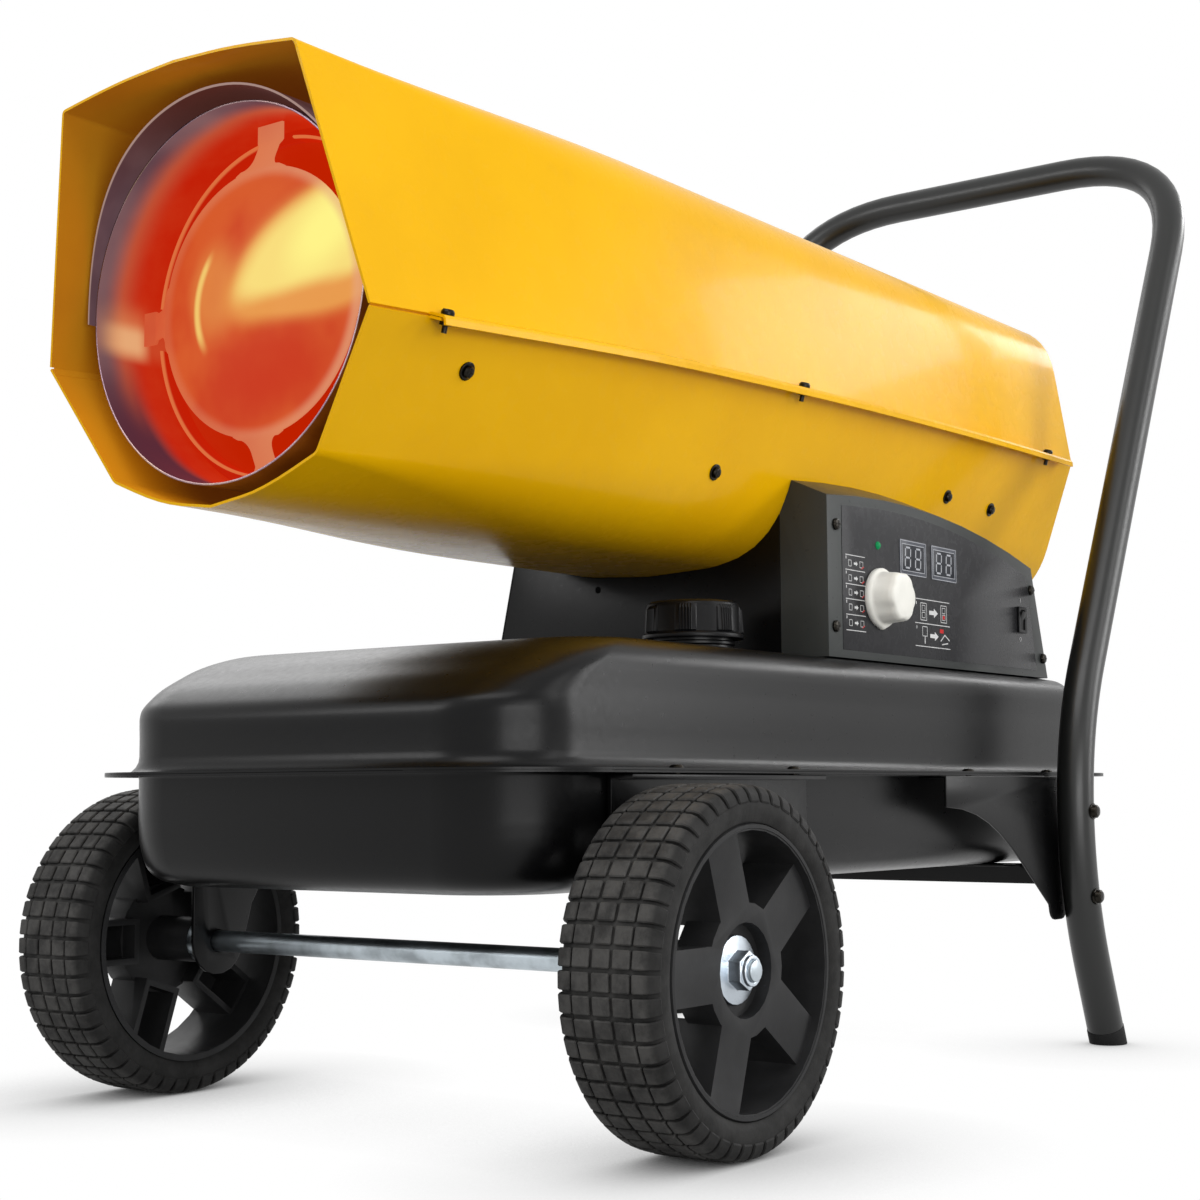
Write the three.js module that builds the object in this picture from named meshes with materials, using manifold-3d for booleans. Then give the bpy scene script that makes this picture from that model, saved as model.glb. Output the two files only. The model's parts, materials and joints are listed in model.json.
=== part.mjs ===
// Forced air heater on two wheels: a yellow barrel with a combustion chamber, burner, fan, motor and
// air pump inside, a control box and a pressed fuel tank below it, an axle in front and a tube handle
// whose legs stand on the floor behind.
// Millimetres. +Z is up, the hot air leaves towards -Y, the control panel faces +X, the floor is z = 0.
// While it is built, y = 0 is the axle's line. The last lines move the origin to the middle of the
// heater's length.
import * as THREE from "three";
import { mergeVertices } from "three/addons/utils/BufferGeometryUtils.js";
import Module from "manifold-3d";

const wasm = await Module();
wasm.setup();

// ---------------------------------------------------------------- driving dimensions
const GAP = 0.3; // between pieces that touch
const RUN = 0.4; // radial, between a turning piece and what it turns in

// The wheels, the handle, the filler and the box keep their distance from the tank's sides.
const TANK_HALF_W = 168;

// wheels and axle
const WHEEL_R = 101.6;
const TYRE_W = 64;
const WHEEL_STAND = 85.6; // from the tank's side to the outer face of a tyre
const WHEEL_OUT_X = TANK_HALF_W + WHEEL_STAND;
const RIM_R = 79.6;
const RIM_WALL = 3.5;
const RIM_LIP = 2.5; // the rim's edge lies this far inside the tyre's face
const SPOKE_N = 5;
const SPOKE_W = 30;
const SPOKE_WALL = 4;
const SPOKE_DEPTH = 34;
const SPOKE_SET = 5; // a spoke's face lies this far behind the rim's edge
const HUB_R = 37;
const HUB_RECESS_R = 26;
const HUB_RECESS = 8;
const HUB_TUBE_R = 15;
const AXLE_R = 7;
const THREAD_R = 6;
const WASHER_R = 19;
const WASHER_T = 2;
const NUT_AF = 19;
const NUT_H = 10.5;
const WHEEL_SEGS = 36;

// fuel tank
const TANK_FRONT = -104;
const TANK_REAR = 683;
const TANK_BOTTOM = 142;
const TANK_TOP = 290.5;
const TANK_FLANGE_Z = 211;
const TANK_FLANGE_W = 21;
const TANK_CORNER_R = 60;
const TANK_WALL = 1.5;
const TANK_NOSE_H = 31; // height of the front wall over the flange, before the slope
const TANK_NOSE_RUN = 104; // length of the rounded slope behind the front wall
const TANK_EDGE = 24; // width of the rounded edges of both halves
const TANK_FILLET = 4.5; // width of the soft corner between the upper wall and its flange

// The burner and its chamber lie on one axis along Y, and the barrel keeps its distance from the chamber.
const CORE_Z = 484;
const CHAMBER_R = 111;

// barrel
const BARREL_REAR = 700;
const OUTLET_Y = -177; // outlet edge at the seam
const OUTLET_RAKE_UP = 22.4; // how far the outlet's top leans forward
const OUTLET_RAKE_DOWN = 10; // how far its bottom lies back
const CREASE_END = 110; // the outlet's sharp corners have become round here
const SHELL_T = 1.6;
const SHELL_GAP = 0.4;
const CHAMBER_TOP = CORE_Z + CHAMBER_R;
const CHAMBER_BOTTOM = CORE_Z - CHAMBER_R;
const OUTLET = { seamX: CHAMBER_R + 20, shoulderX: CHAMBER_R - 15, shoulderZ: CHAMBER_TOP + 5,
  crownZ: CHAMBER_TOP + 14, heelX: CHAMBER_R - 28, heelZ: CHAMBER_BOTTOM + 8, keelZ: CHAMBER_BOTTOM - 14,
  corner: 3 };
const BODY = { seamX: CHAMBER_R + 32, shoulderX: CHAMBER_R + 11, shoulderZ: CHAMBER_TOP + 12,
  crownZ: CHAMBER_TOP + 18, heelX: CHAMBER_R - 7, heelZ: CHAMBER_BOTTOM - 6, keelZ: CHAMBER_BOTTOM - 17,
  corner: 44 };
const SEAM_Z_FRONT = CORE_Z - 30;
const SEAM_Z_REAR = CORE_Z - 2;
const LIP_W = 10; // width of the bolted lips along the seam
const LIP_DROP = 3;
const LIP_START = -126;

// burner and chamber
const CHAMBER_T = 1.4;
const CHAMBER_FRONT = -160;
const CHAMBER_REAR = 300;
const CHAMBER_HOLE_R = 36;
const SHIELD_CLEAR = 5.5; // from the chamber's outer face to the shield's
const SHIELD_R = CHAMBER_R + SHIELD_CLEAR;
const SHIELD_T = 1.2;
const SHIELD_FRONT = -175;
const SHIELD_SWEEP = 14; // the front edge lies this much further back at the shield's two ends
const SHIELD_REAR = 280;
const RING_Y = -106;
const RING_LIP_Y = -118;
const RING_W = 10.4; // from the chamber's outer face to the edge of the ring's hole
const RING_HOLE_R = CHAMBER_R - RING_W;
const DISC_Y = -132;
const DISC_SET = 31; // from the chamber's outer face to the disc's rim
const DISC_R = CHAMBER_R - DISC_SET;
const DISC_DOME = 9;
const DISC_T = 1.6;
const ARM_W = 20;
const ARM_LEAN = 8; // an arm's tab lies this far behind the disc's rim
const TAB_L = 10; // length of the flat tab at the end of an arm
const TAB_CLEAR = 1.2; // from a tab's end to the chamber's inner face
const BRACKET_W = 16;
const CHAMBER_BRACKET_Y = [-76, 180];
const BURNER_R = 46;
const BURNER_L = 42;

// fan, motor and air pump
const FAN_Y = 415;
const FAN_R = 108;
const FAN_HUB_R = 27;
const FAN_HUB_L = 30;
const FAN_BLADES = 5;
const BLADE_CHORD = 58;
const BLADE_PITCH = 32;
const SHAFT_R = 6;
const MOTOR_R = 48;
const MOTOR_FRONT = 452;
const MOTOR_REAR = 596;
const MOTOR_BRACKET_Y = 525;
const PUMP_R = 39;
const PUMP_L = 30;
const PUMP_CAVITY_R = 24;
const PUMP_CAVITY_L = 20;
const PUMP_ROTOR_R = 20;
const PUMP_COVER_L = 9;
const GUARD_T = 3;
const GUARD_SET = 6; // the guard lies this far inside the rear edge

// control box on the tank
const BOX_FRONT = 262;
const BOX_REAR = 622;
const BOX_SET = 18; // from the tank's side to the panel
const BOX_BASE_HALF = TANK_HALF_W - BOX_SET; // of the side with the panel
const BOX_FAR_HALF = BOX_BASE_HALF - 4; // of the far side, which leans
const BOX_LEAN = 32; // the far side leans in by this much, to the box's top
const BOX_SHEET = 1.5;
const BOX_TOP_HALF = BOX_BASE_HALF - BOX_LEAN;
const BOX_TOP_Z = 417;
const PANEL_FRONT_Z = 403;
const PANEL_REAR_Z = 380;
const PANEL_REAR_LEAN = 28;
const PANEL_CROWN = [430, 420]; // control point of the curved top edge: y, z
const PANEL_DEPTH = 38; // the panel's cover reaches in this far, to where the support sheet begins
const PANEL_JOINT_X = BOX_BASE_HALF - PANEL_DEPTH;
const KNOB_Y = 334;
const KNOB_Z = 336;
const KNOB_R = 21.5;
const KNOB_L = 21;
const SPINDLE_R = 3;
const SWITCH_Y = 572;
const SWITCH_Z = 336;
const SWITCH_W = 15;
const SWITCH_H = 21;
const ROCKER_TILT = 10;
const DISPLAY_Y = [386.5, 436];
const DISPLAY_Z = 368;
const DISPLAY_W = 42;
const DISPLAY_H = 28;
const LAMP_Y = 333;
const LAMP_Z = 374;
const LAMP_R = 3;

// filler
const FILLER_SET = 82; // from the tank's side to the middle of the filler
const FILLER_X = TANK_HALF_W - FILLER_SET;
const FILLER_Y = 190;
const NECK_R = 27;
const NECK_H = 21;
const NECK_WALL = 2.5;
const CAP_R = 34.5;
const CAP_H = 25.5;
const CAP_LIFT = 10.5; // the cap's lower edge over the tank's top
const CAP_RIBS = 7;
const CAP_TURN = -64.7; // degrees from +X to the first rib

// handle
const TUBE_R = 14;
const TUBE_WALL = 1.5;
const HANDLE_STAND = 39; // from the tank's side to the middle of the tube
const HANDLE_HALF = TANK_HALF_W + HANDLE_STAND;
const LEG_FOOT_Y = 590;
const LEG_KNEE = [541, 115];
const LEG_WAIST = [537, 240];
const HANDLE_TOP = [829, 782];
const KNEE_BEND = 56; // length of tube on each side of a vertex that is bent
const WAIST_BEND = 66;
const TOP_BEND = 80;
const FOOT_H = 14;
const GUSSET_T = 1.8;
const GUSSET_FRONT = 349;
const BRACE_Z = 126;

// axle brackets
const BRACKET_T = 3;
const BRACKET_X = TANK_HALF_W + 1;
const BRACKET_REAR = 192;
const BRACKET_BOSS_R = 22;

// ---------------------------------------------------------------- solids
const materials = {};
function material(name, color, roughness, metalness) {
  materials[name] = new THREE.MeshStandardMaterial({ color, roughness, metalness });
}
material("yellow paint", 0xf5c20a, 0.22, 0.0);
material("black paint", 0x1d1d1f, 0.42, 0.0);
material("black plastic", 0x1b1b1c, 0.5, 0.0);
material("rubber", 0x2e2d2c, 0.85, 0.0);
material("rim plastic", 0x202022, 0.45, 0.0);
material("zinc", 0xaeb6c0, 0.3, 0.9);
material("hot steel", 0x7a5a5e, 0.45, 0.8);
material("glowing steel", 0xe2452a, 0.5, 0.4);
material("aluminium", 0xb9bcc0, 0.4, 0.9);
material("brass", 0xb08d4a, 0.35, 0.9);
material("ivory plastic", 0xd7d4ca, 0.4, 0.0);
material("ceramic", 0xe8e4da, 0.35, 0.0);
material("green lamp", 0x1f9c52, 0.3, 0.0);
material("display window", 0x2c3036, 0.15, 0.0);
material("board", 0x1f5a37, 0.5, 0.0);
material("hose", 0x25262a, 0.6, 0.0);

// A closed geometry as a solid whose faces point out.
function solid(geometry) {
  const flat = geometry.index ? geometry.toNonIndexed() : geometry;
  const bare = new THREE.BufferGeometry();
  bare.setAttribute("position", flat.getAttribute("position"));
  const merged = mergeVertices(bare, 1e-3);
  const index = merged.index.array;
  const kept = [];
  for (let i = 0; i < index.length; i += 3) {
    const [a, b, c] = [index[i], index[i + 1], index[i + 2]];
    if (a !== b && b !== c && c !== a) kept.push(a, b, c);
  }
  const vertProperties = new Float32Array(merged.attributes.position.array);
  const build = (triVerts) =>
    new wasm.Manifold(new wasm.Mesh({ numProp: 3, vertProperties, triVerts: new Uint32Array(triVerts) }));
  const made = build(kept);
  if (made.volume() >= 0) return made;
  const turned = [];
  for (let i = 0; i < kept.length; i += 3) turned.push(kept[i], kept[i + 2], kept[i + 1]);
  return build(turned);
}

function geometryOf(body) {
  const mesh = body.getMesh();
  const positions = new Float32Array(mesh.numVert * 3);
  for (let i = 0; i < mesh.numVert; i++) {
    const at = i * mesh.numProp;
    positions.set(mesh.vertProperties.subarray(at, at + 3), i * 3);
  }
  const geometry = new THREE.BufferGeometry();
  geometry.setAttribute("position", new THREE.BufferAttribute(positions, 3));
  geometry.setIndex(new THREE.BufferAttribute(new Uint32Array(mesh.triVerts), 1));
  return geometry;
}

const join = (...bodies) => bodies.reduce((a, b) => a.add(b));
const cut = (body, ...tools) => tools.reduce((a, b) => a.subtract(b), body);

const heater = new THREE.Group();
function node(name, finish, body) {
  const mesh = new THREE.Mesh(geometryOf(body), materials[finish]);
  mesh.geometry.computeVertexNormals();
  mesh.name = name;
  heater.add(mesh);
  return body;
}

// The same piece on the other side of the heater.
function mirrored(body) {
  return solid(geometryOf(body).scale(-1, 1, 1));
}

const moved = (geometry, x, y, z) => solid(geometry.translate(x, y, z));

function block(x0, x1, y0, y1, z0, z1) {
  const box = new THREE.BoxGeometry(x1 - x0, y1 - y0, z1 - z0);
  return moved(box, (x0 + x1) / 2, (y0 + y1) / 2, (z0 + z1) / 2);
}

// Turns a geometry made about +Y so that it lies about the named axis.
function alongAxis(geometry, axis) {
  if (axis === "x") geometry.rotateZ(-Math.PI / 2);
  if (axis === "z") geometry.rotateX(Math.PI / 2);
  return geometry;
}

// A turned solid: profile is a list of [radius, place along the axis] that closes on itself or on the
// axis, and at is where the axis runs.
function turned(axis, profile, at, segs = 24) {
  const points = profile.map(([r, a]) => new THREE.Vector2(r, a));
  const onAxis = profile[0][0] === 0 && profile[profile.length - 1][0] === 0;
  if (!onAxis) points.push(points[0].clone());
  return moved(alongAxis(new THREE.LatheGeometry(points, segs), axis), ...at);
}

const rod = (axis, r, a, b, at, segs) => turned(axis, [[0, a], [r, a], [r, b], [0, b]], at, segs);
const pipe = (axis, r0, r1, a, b, at, segs) =>
  turned(axis, [[r0, a], [r1, a], [r1, b], [r0, b]], at, segs);

function shapeOf(points, holes = []) {
  const shape = new THREE.Shape(points.map(([u, v]) => new THREE.Vector2(u, v)));
  for (const hole of holes) shape.holes.push(new THREE.Path(hole.map(([u, v]) => new THREE.Vector2(u, v))));
  return shape;
}

// An outline in y and z, from x0 to x1.
function sideways(points, x0, x1, holes) {
  const made = new THREE.ExtrudeGeometry(shapeOf(points, holes), { depth: x1 - x0, bevelEnabled: false });
  made.applyMatrix4(new THREE.Matrix4().set(0, 0, 1, x0, 1, 0, 0, 0, 0, 1, 0, 0, 0, 0, 0, 1));
  return solid(made);
}

// An outline in x and z, from y0 to y1.
function crossways(points, y0, y1, holes) {
  const made = new THREE.ExtrudeGeometry(shapeOf(points, holes), { depth: y1 - y0, bevelEnabled: false });
  made.applyMatrix4(new THREE.Matrix4().set(1, 0, 0, 0, 0, 0, -1, y1, 0, 1, 0, 0, 0, 0, 0, 1));
  return solid(made);
}

function arcPoints(u, v, r, from, to, steps) {
  const points = [];
  for (let i = 0; i <= steps; i++) {
    const a = THREE.MathUtils.degToRad(from + ((to - from) * i) / steps);
    points.push([u + r * Math.cos(a), v + r * Math.sin(a)]);
  }
  return points;
}

const circle = (u, v, r, steps) => arcPoints(u, v, r, 0, 360, steps).slice(0, -1);

// Joins rings of equal counts of points into one closed skin, with a fan on the first and last ring,
// or with the last ring joined to the first.
function skin(rings, looped = false) {
  const count = rings[0].length;
  const positions = rings.flat(2);
  const index = [];
  const last = looped ? rings.length : rings.length - 1;
  for (let r = 0; r < last; r++) {
    const next = (r + 1) % rings.length;
    for (let i = 0; i < count; i++) {
      const j = (i + 1) % count;
      const [a, b, c, d] = [r * count + i, r * count + j, next * count + j, next * count + i];
      index.push(a, b, c, a, c, d);
    }
  }
  if (!looped) {
    for (const [r, turn] of [[0, false], [rings.length - 1, true]]) {
      const middle = positions.length / 3;
      for (let k = 0; k < 3; k++) positions.push(rings[r].reduce((sum, p) => sum + p[k], 0) / count);
      for (let i = 0; i < count; i++) {
        const [a, b] = [r * count + i, r * count + ((i + 1) % count)];
        index.push(...(turn ? [a, b, middle] : [b, a, middle]));
      }
    }
  }
  const geometry = new THREE.BufferGeometry();
  geometry.setAttribute("position", new THREE.Float32BufferAttribute(positions, 3));
  geometry.setIndex(index);
  return solid(geometry);
}

// A bent sheet: every station holds the points of its outer and its inner face, in the same order.
function sheet(stations) {
  const count = stations[0].outer.length;
  const positions = [];
  const index = [];
  const quad = (a, b, c, d) => index.push(a, b, c, a, c, d);
  for (const { outer, inner } of stations) positions.push(...outer.flat(), ...inner.flat());
  const at = (s, i, side) => (s * 2 + side) * count + i;
  for (let s = 0; s + 1 < stations.length; s++) {
    for (let i = 0; i + 1 < count; i++) {
      quad(at(s, i, 0), at(s, i + 1, 0), at(s + 1, i + 1, 0), at(s + 1, i, 0));
      quad(at(s, i, 1), at(s + 1, i, 1), at(s + 1, i + 1, 1), at(s, i + 1, 1));
    }
    quad(at(s, 0, 0), at(s + 1, 0, 0), at(s + 1, 0, 1), at(s, 0, 1));
    quad(at(s, count - 1, 0), at(s, count - 1, 1), at(s + 1, count - 1, 1), at(s + 1, count - 1, 0));
  }
  const end = stations.length - 1;
  for (let i = 0; i + 1 < count; i++) {
    quad(at(0, i, 0), at(0, i, 1), at(0, i + 1, 1), at(0, i + 1, 0));
    quad(at(end, i, 0), at(end, i + 1, 0), at(end, i + 1, 1), at(end, i, 1));
  }
  const geometry = new THREE.BufferGeometry();
  geometry.setAttribute("position", new THREE.Float32BufferAttribute(positions, 3));
  geometry.setIndex(index);
  return solid(geometry);
}

// A path of straight runs with rounded corners. Its parameter gives one step to each straight run and
// bendSteps to each bend, so a tube along it has its rings where it bends.
class BentPath extends THREE.Curve {
  constructor(corners, bends, bendSteps = 5) {
    super();
    this.parts = [];
    let from = corners[0];
    corners.slice(1, -1).forEach((corner, i) => {
      const back = corner.clone().add(from.clone().sub(corner).setLength(bends[i]));
      const ahead = corner.clone().add(corners[i + 2].clone().sub(corner).setLength(bends[i]));
      this.parts.push([new THREE.LineCurve3(from, back), 1]);
      this.parts.push([new THREE.QuadraticBezierCurve3(back, corner, ahead), bendSteps]);
      from = ahead;
    });
    this.parts.push([new THREE.LineCurve3(from, corners[corners.length - 1]), 1]);
    this.steps = this.parts.reduce((sum, [, n]) => sum + n, 0);
  }
  getPoint(t, target = new THREE.Vector3()) {
    let rest = t * this.steps;
    for (const [part, n] of this.parts) {
      if (rest <= n) return part.getPoint(Math.max(rest, 0) / n, target);
      rest -= n;
    }
    const [part] = this.parts[this.parts.length - 1];
    return part.getPoint(1, target);
  }
  getUtoTmapping(u) {
    return u;
  }
}

function tube(corners, bends, r, bore, sides = 14, bendSteps = 5) {
  const points = corners.map((p) => new THREE.Vector3(...p));
  const path = new BentPath(points, bends, bendSteps);
  const holes = bore ? [circle(0, 0, bore, Math.max(8, sides - 4)).reverse()] : [];
  const section = shapeOf(circle(0, 0, r, sides), holes);
  return solid(new THREE.ExtrudeGeometry(section, { steps: path.steps, extrudePath: path,
    bevelEnabled: false }));
}

const mix = (a, b, k) => a + (b - a) * k;
const ease = (k) => {
  const t = Math.min(Math.max(k, 0), 1);
  return t * t * (3 - 2 * t);
};

// ---------------------------------------------------------------- barrel
// Sizes of the barrel's section at y: the outlet's sharp eight sides turn into a rounder section.
function barrelAt(y) {
  const k = ease((y - OUTLET_Y) / (CREASE_END - OUTLET_Y));
  const along = (y - OUTLET_Y) / (BARREL_REAR - OUTLET_Y);
  const size = {};
  for (const key of Object.keys(OUTLET)) size[key] = mix(OUTLET[key], BODY[key], k);
  size.seamZ = mix(SEAM_Z_FRONT, SEAM_Z_REAR, along * (2 - along));
  return size;
}

// Half of an outline, from the seam round one corner to the middle: x and z.
function halfOutline(seam, corner, middle, reach) {
  const between = [corner[0] * 0.5, mix(corner[1], middle[1], 0.75)];
  const before = new THREE.Vector2(...seam).sub(new THREE.Vector2(...corner)).setLength(reach);
  const after = new THREE.Vector2(...between).sub(new THREE.Vector2(...corner)).setLength(reach);
  const curve = new THREE.QuadraticBezierCurve(
    new THREE.Vector2(...corner).add(before),
    new THREE.Vector2(...corner),
    new THREE.Vector2(...corner).add(after),
  );
  return [seam, ...curve.getPoints(5).map((p) => [p.x, p.y]), between, middle];
}

// The outline of the upper (side 1) or lower (side -1) half at y, from +X to -X.
function shellOutline(y, side, edge) {
  const s = barrelAt(y);
  const seam = [s.seamX, s.seamZ + side * edge];
  const corner = side > 0 ? [s.shoulderX, s.shoulderZ] : [s.heelX, s.heelZ];
  const middle = [0, side > 0 ? s.crownZ : s.keelZ];
  const half = halfOutline(seam, corner, middle, s.corner);
  const other = half.slice(0, -1).reverse().map(([x, z]) => [-x, z]);
  return [...half, ...other];
}

// The outline moved inwards by t, square to its own direction, and level at its two ends.
function inset(points, t, side) {
  return points.map((p, i) => {
    if (i === 0) return [p[0] - t, p[1]];
    if (i === points.length - 1) return [p[0] + t, p[1]];
    const a = points[i - 1];
    const b = points[i + 1];
    const run = Math.hypot(b[0] - a[0], b[1] - a[1]);
    return [p[0] + (side * t * (b[1] - a[1])) / run, p[1] - (side * t * (b[0] - a[0])) / run];
  });
}

// The outlet's edge leans: its top stands forward of the seam and its bottom lies back.
function outletY(z) {
  if (z > SEAM_Z_FRONT) {
    const k = (z - SEAM_Z_FRONT) / (OUTLET.shoulderZ - SEAM_Z_FRONT);
    return OUTLET_Y - OUTLET_RAKE_UP * Math.min(k, 1);
  }
  const k = (SEAM_Z_FRONT - z) / (SEAM_Z_FRONT - OUTLET.heelZ);
  return OUTLET_Y + OUTLET_RAKE_DOWN * Math.min(k, 1);
}

const BARREL_STATIONS = [OUTLET_Y, -150, -100, -40, 30, CREASE_END, 400, BARREL_REAR];

function shell(side) {
  const stations = BARREL_STATIONS.map((y, n) => {
    const outer = shellOutline(y, side, SHELL_GAP / 2);
    const inner = inset(outer, SHELL_T, -side);
    const place = ([x, z]) => [x, n === 0 ? outletY(z) : y, z];
    const faces = { outer: outer.map(place), inner: inner.map(place) };
    return side > 0 ? faces : { outer: faces.outer.reverse(), inner: faces.inner.reverse() };
  });
  return sheet(stations);
}

// A lip along the seam, sloping out and down; the lower shell's lies under the upper shell's.
function lip(side, sign) {
  const stations = [LIP_START, ...BARREL_STATIONS.filter((y) => y > LIP_START)].map((y) => {
    const s = barrelAt(y);
    const z = s.seamZ + (side * SHELL_GAP) / 2;
    const face = [[s.seamX - SHELL_T, z], [s.seamX, z], [s.seamX + LIP_W, z - LIP_DROP]];
    return {
      outer: face.map(([x, h]) => [sign * x, y, h]),
      inner: face.map(([x, h]) => [sign * x, y, h + side * SHELL_T]),
    };
  });
  return sheet(stations);
}

// The whole barrel as a solid, grown by grow: what stands against the barrel is cut back with it.
function barrelEnvelope(grow) {
  const rings = [...BARREL_STATIONS.slice(1), BARREL_REAR + 60].map((y) => {
    const at = Math.min(y, BARREL_REAR);
    const upper = inset(shellOutline(at, 1, 0), -grow, -1);
    const lower = inset(shellOutline(at, -1, 0), -grow, 1).slice(1, -1).reverse();
    return [...upper, ...lower].map(([x, z]) => [x, y, z]);
  });
  return skin(rings);
}

const around = barrelEnvelope(GAP);
const inside = barrelEnvelope(-SHELL_T - GAP);
const HOSE_R = 4;
const HOSE_HOLE_R = 8;
const HOSE_X = { air: 24, fuel: -24 };
const BURNER_BACK = CHAMBER_REAR + BURNER_L;
const PUMP_FRONT = MOTOR_REAR + GAP;
const PUMP_PORT_Y = PUMP_FRONT + PUMP_L / 2;
const BURNER_PORT_Y = BURNER_BACK - 12;
const hoseHole = (x, y) => rod("z", HOSE_HOLE_R, 0, 60, [x, y, BODY.keelZ - 30], 12);

node("upper_shell", "yellow paint", join(shell(1), lip(1, 1), lip(1, -1)));
node("lower_shell", "yellow paint", cut(join(shell(-1), lip(-1, 1), lip(-1, -1)),
  hoseHole(HOSE_X.air, PUMP_PORT_Y), hoseHole(HOSE_X.air, BURNER_PORT_Y),
  hoseHole(HOSE_X.fuel, BURNER_PORT_Y)));

// ---------------------------------------------------------------- combustion chamber and outlet
const core = (y) => [0, y, CORE_Z];
const CHAMBER_IN = CHAMBER_R - CHAMBER_T;

node("combustion_chamber", "hot steel", turned("y", [
  [CHAMBER_R, CHAMBER_FRONT], [CHAMBER_R, CHAMBER_REAR - 40], [CHAMBER_HOLE_R + 22, CHAMBER_REAR],
  [CHAMBER_HOLE_R, CHAMBER_REAR], [CHAMBER_HOLE_R, CHAMBER_REAR - CHAMBER_T],
  [CHAMBER_HOLE_R + 21, CHAMBER_REAR - CHAMBER_T], [CHAMBER_IN, CHAMBER_REAR - 41],
  [CHAMBER_IN, CHAMBER_FRONT],
], core(0), 36));

// Half-round heat shield over the chamber, held off the barrel by three feet.
const shieldArc = (r) => arcPoints(0, CORE_Z, r, -1, 181, 18);
const shieldY = (y, x) => (y === SHIELD_FRONT ? y + SHIELD_SWEEP * (x / SHIELD_R) ** 4 : y);
const shieldSheet = sheet([SHIELD_FRONT, SHIELD_REAR].map((y) => ({
  outer: shieldArc(SHIELD_R).map(([x, z]) => [x, shieldY(y, x), z]),
  inner: shieldArc(SHIELD_R - SHIELD_T).map(([x, z]) => [x, shieldY(y, x), z]),
})));
const shieldFoot = (angle, y) => {
  const length = 34;
  const foot = new THREE.BoxGeometry(length, 12, 10);
  foot.translate(SHIELD_R - SHIELD_T / 2 + length / 2, 0, 0).rotateY(-THREE.MathUtils.degToRad(angle));
  return moved(foot, 0, y, CORE_Z).intersect(inside);
};
node("heat_shield", "hot steel", join(shieldSheet, ...[-60, 200].flatMap((y) =>
  [40, 90, 140].map((angle) => shieldFoot(angle, y)))));

// Narrow ring inside the chamber. Its hole has a lip towards the front, with a notch for each arm.
const ARM_ANGLES = [0, 90, 180, 270];
function chamberRing() {
  const r = CHAMBER_IN - GAP;
  const ring = turned("y", [
    [r, RING_Y], [r, RING_Y + 8], [r - 1.4, RING_Y + 8], [r - 1.4, RING_Y + 1.4], [RING_HOLE_R, RING_Y + 1.4],
    [RING_HOLE_R, RING_LIP_Y], [RING_HOLE_R + 1.4, RING_LIP_Y], [RING_HOLE_R + 1.4, RING_Y],
  ], core(0), 36);
  const notches = ARM_ANGLES.map((angle) => {
    const notch = new THREE.BoxGeometry(20, RING_Y - RING_LIP_Y, ARM_W + 4);
    notch.translate(RING_HOLE_R, (RING_Y + RING_LIP_Y) / 2 - 1, 0).rotateY(THREE.MathUtils.degToRad(angle));
    return moved(notch, 0, 0, CORE_Z);
  });
  return cut(ring, ...notches);
}
node("chamber_ring", "glowing steel", chamberRing());

// Domed disc on four arms, which lean back a little and end in flat tabs at the chamber's wall.
const discProfile = (y) => {
  const points = [];
  for (let i = 0; i <= 3; i++) {
    const r = (DISC_R * i) / 3;
    points.push([r, y - DISC_DOME * (1 - (i / 3) ** 2)]);
  }
  return points;
};
function deflectorArm(angle) {
  const end = CHAMBER_IN - TAB_CLEAR;
  const bend = end - TAB_L;
  const tabY = DISC_Y + ARM_LEAN;
  const side = [[DISC_R - 5, DISC_Y - 0.5], [DISC_R + 1, DISC_Y - 0.5], [bend, tabY - DISC_T],
    [end, tabY - DISC_T], [end, tabY], [bend - 1, tabY], [DISC_R, DISC_Y + DISC_T],
    [DISC_R - 5, DISC_Y + DISC_T]];
  const arm = new THREE.ExtrudeGeometry(shapeOf(side), { depth: ARM_W, bevelEnabled: false });
  arm.translate(0, 0, -ARM_W / 2).rotateY(THREE.MathUtils.degToRad(angle));
  return moved(arm, 0, 0, CORE_Z);
}
node("deflector_disc", "glowing steel", join(
  turned("y", [...discProfile(DISC_Y), ...discProfile(DISC_Y + DISC_T).reverse()], core(0), 28),
  ...ARM_ANGLES.map(deflectorArm),
));

// A saddle: a band round the lower part of a cylinder with two legs that stand on the barrel's
// lower sides. angle is that of a leg, measured from straight down.
function saddle(y, r, bandEnd, legAngle, width, thick) {
  const a = 90 - bandEnd;
  const outer = arcPoints(0, CORE_Z, r + thick, -a, -180 + a, 14);
  const inner = arcPoints(0, CORE_Z, r, -180 + a, -a, 14);
  const band = crossways([...outer, ...inner], y - width / 2, y + width / 2);
  const reach = r * 0.7; // longer than a leg, which the barrel cuts off
  const legs = [-legAngle, legAngle].map((angle) => {
    const leg = new THREE.BoxGeometry(thick, width, reach);
    leg.translate(0, 0, -(r + thick / 2 + reach / 2)).rotateY(-THREE.MathUtils.degToRad(angle));
    return moved(leg, 0, y, CORE_Z);
  });
  return join(band, ...legs).intersect(inside);
}
CHAMBER_BRACKET_Y.forEach((y, i) => {
  const name = ["front_chamber_bracket", "rear_chamber_bracket"][i];
  node(name, "hot steel", saddle(y, CHAMBER_R + GAP, 68, 58, BRACKET_W, 2));
});

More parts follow.
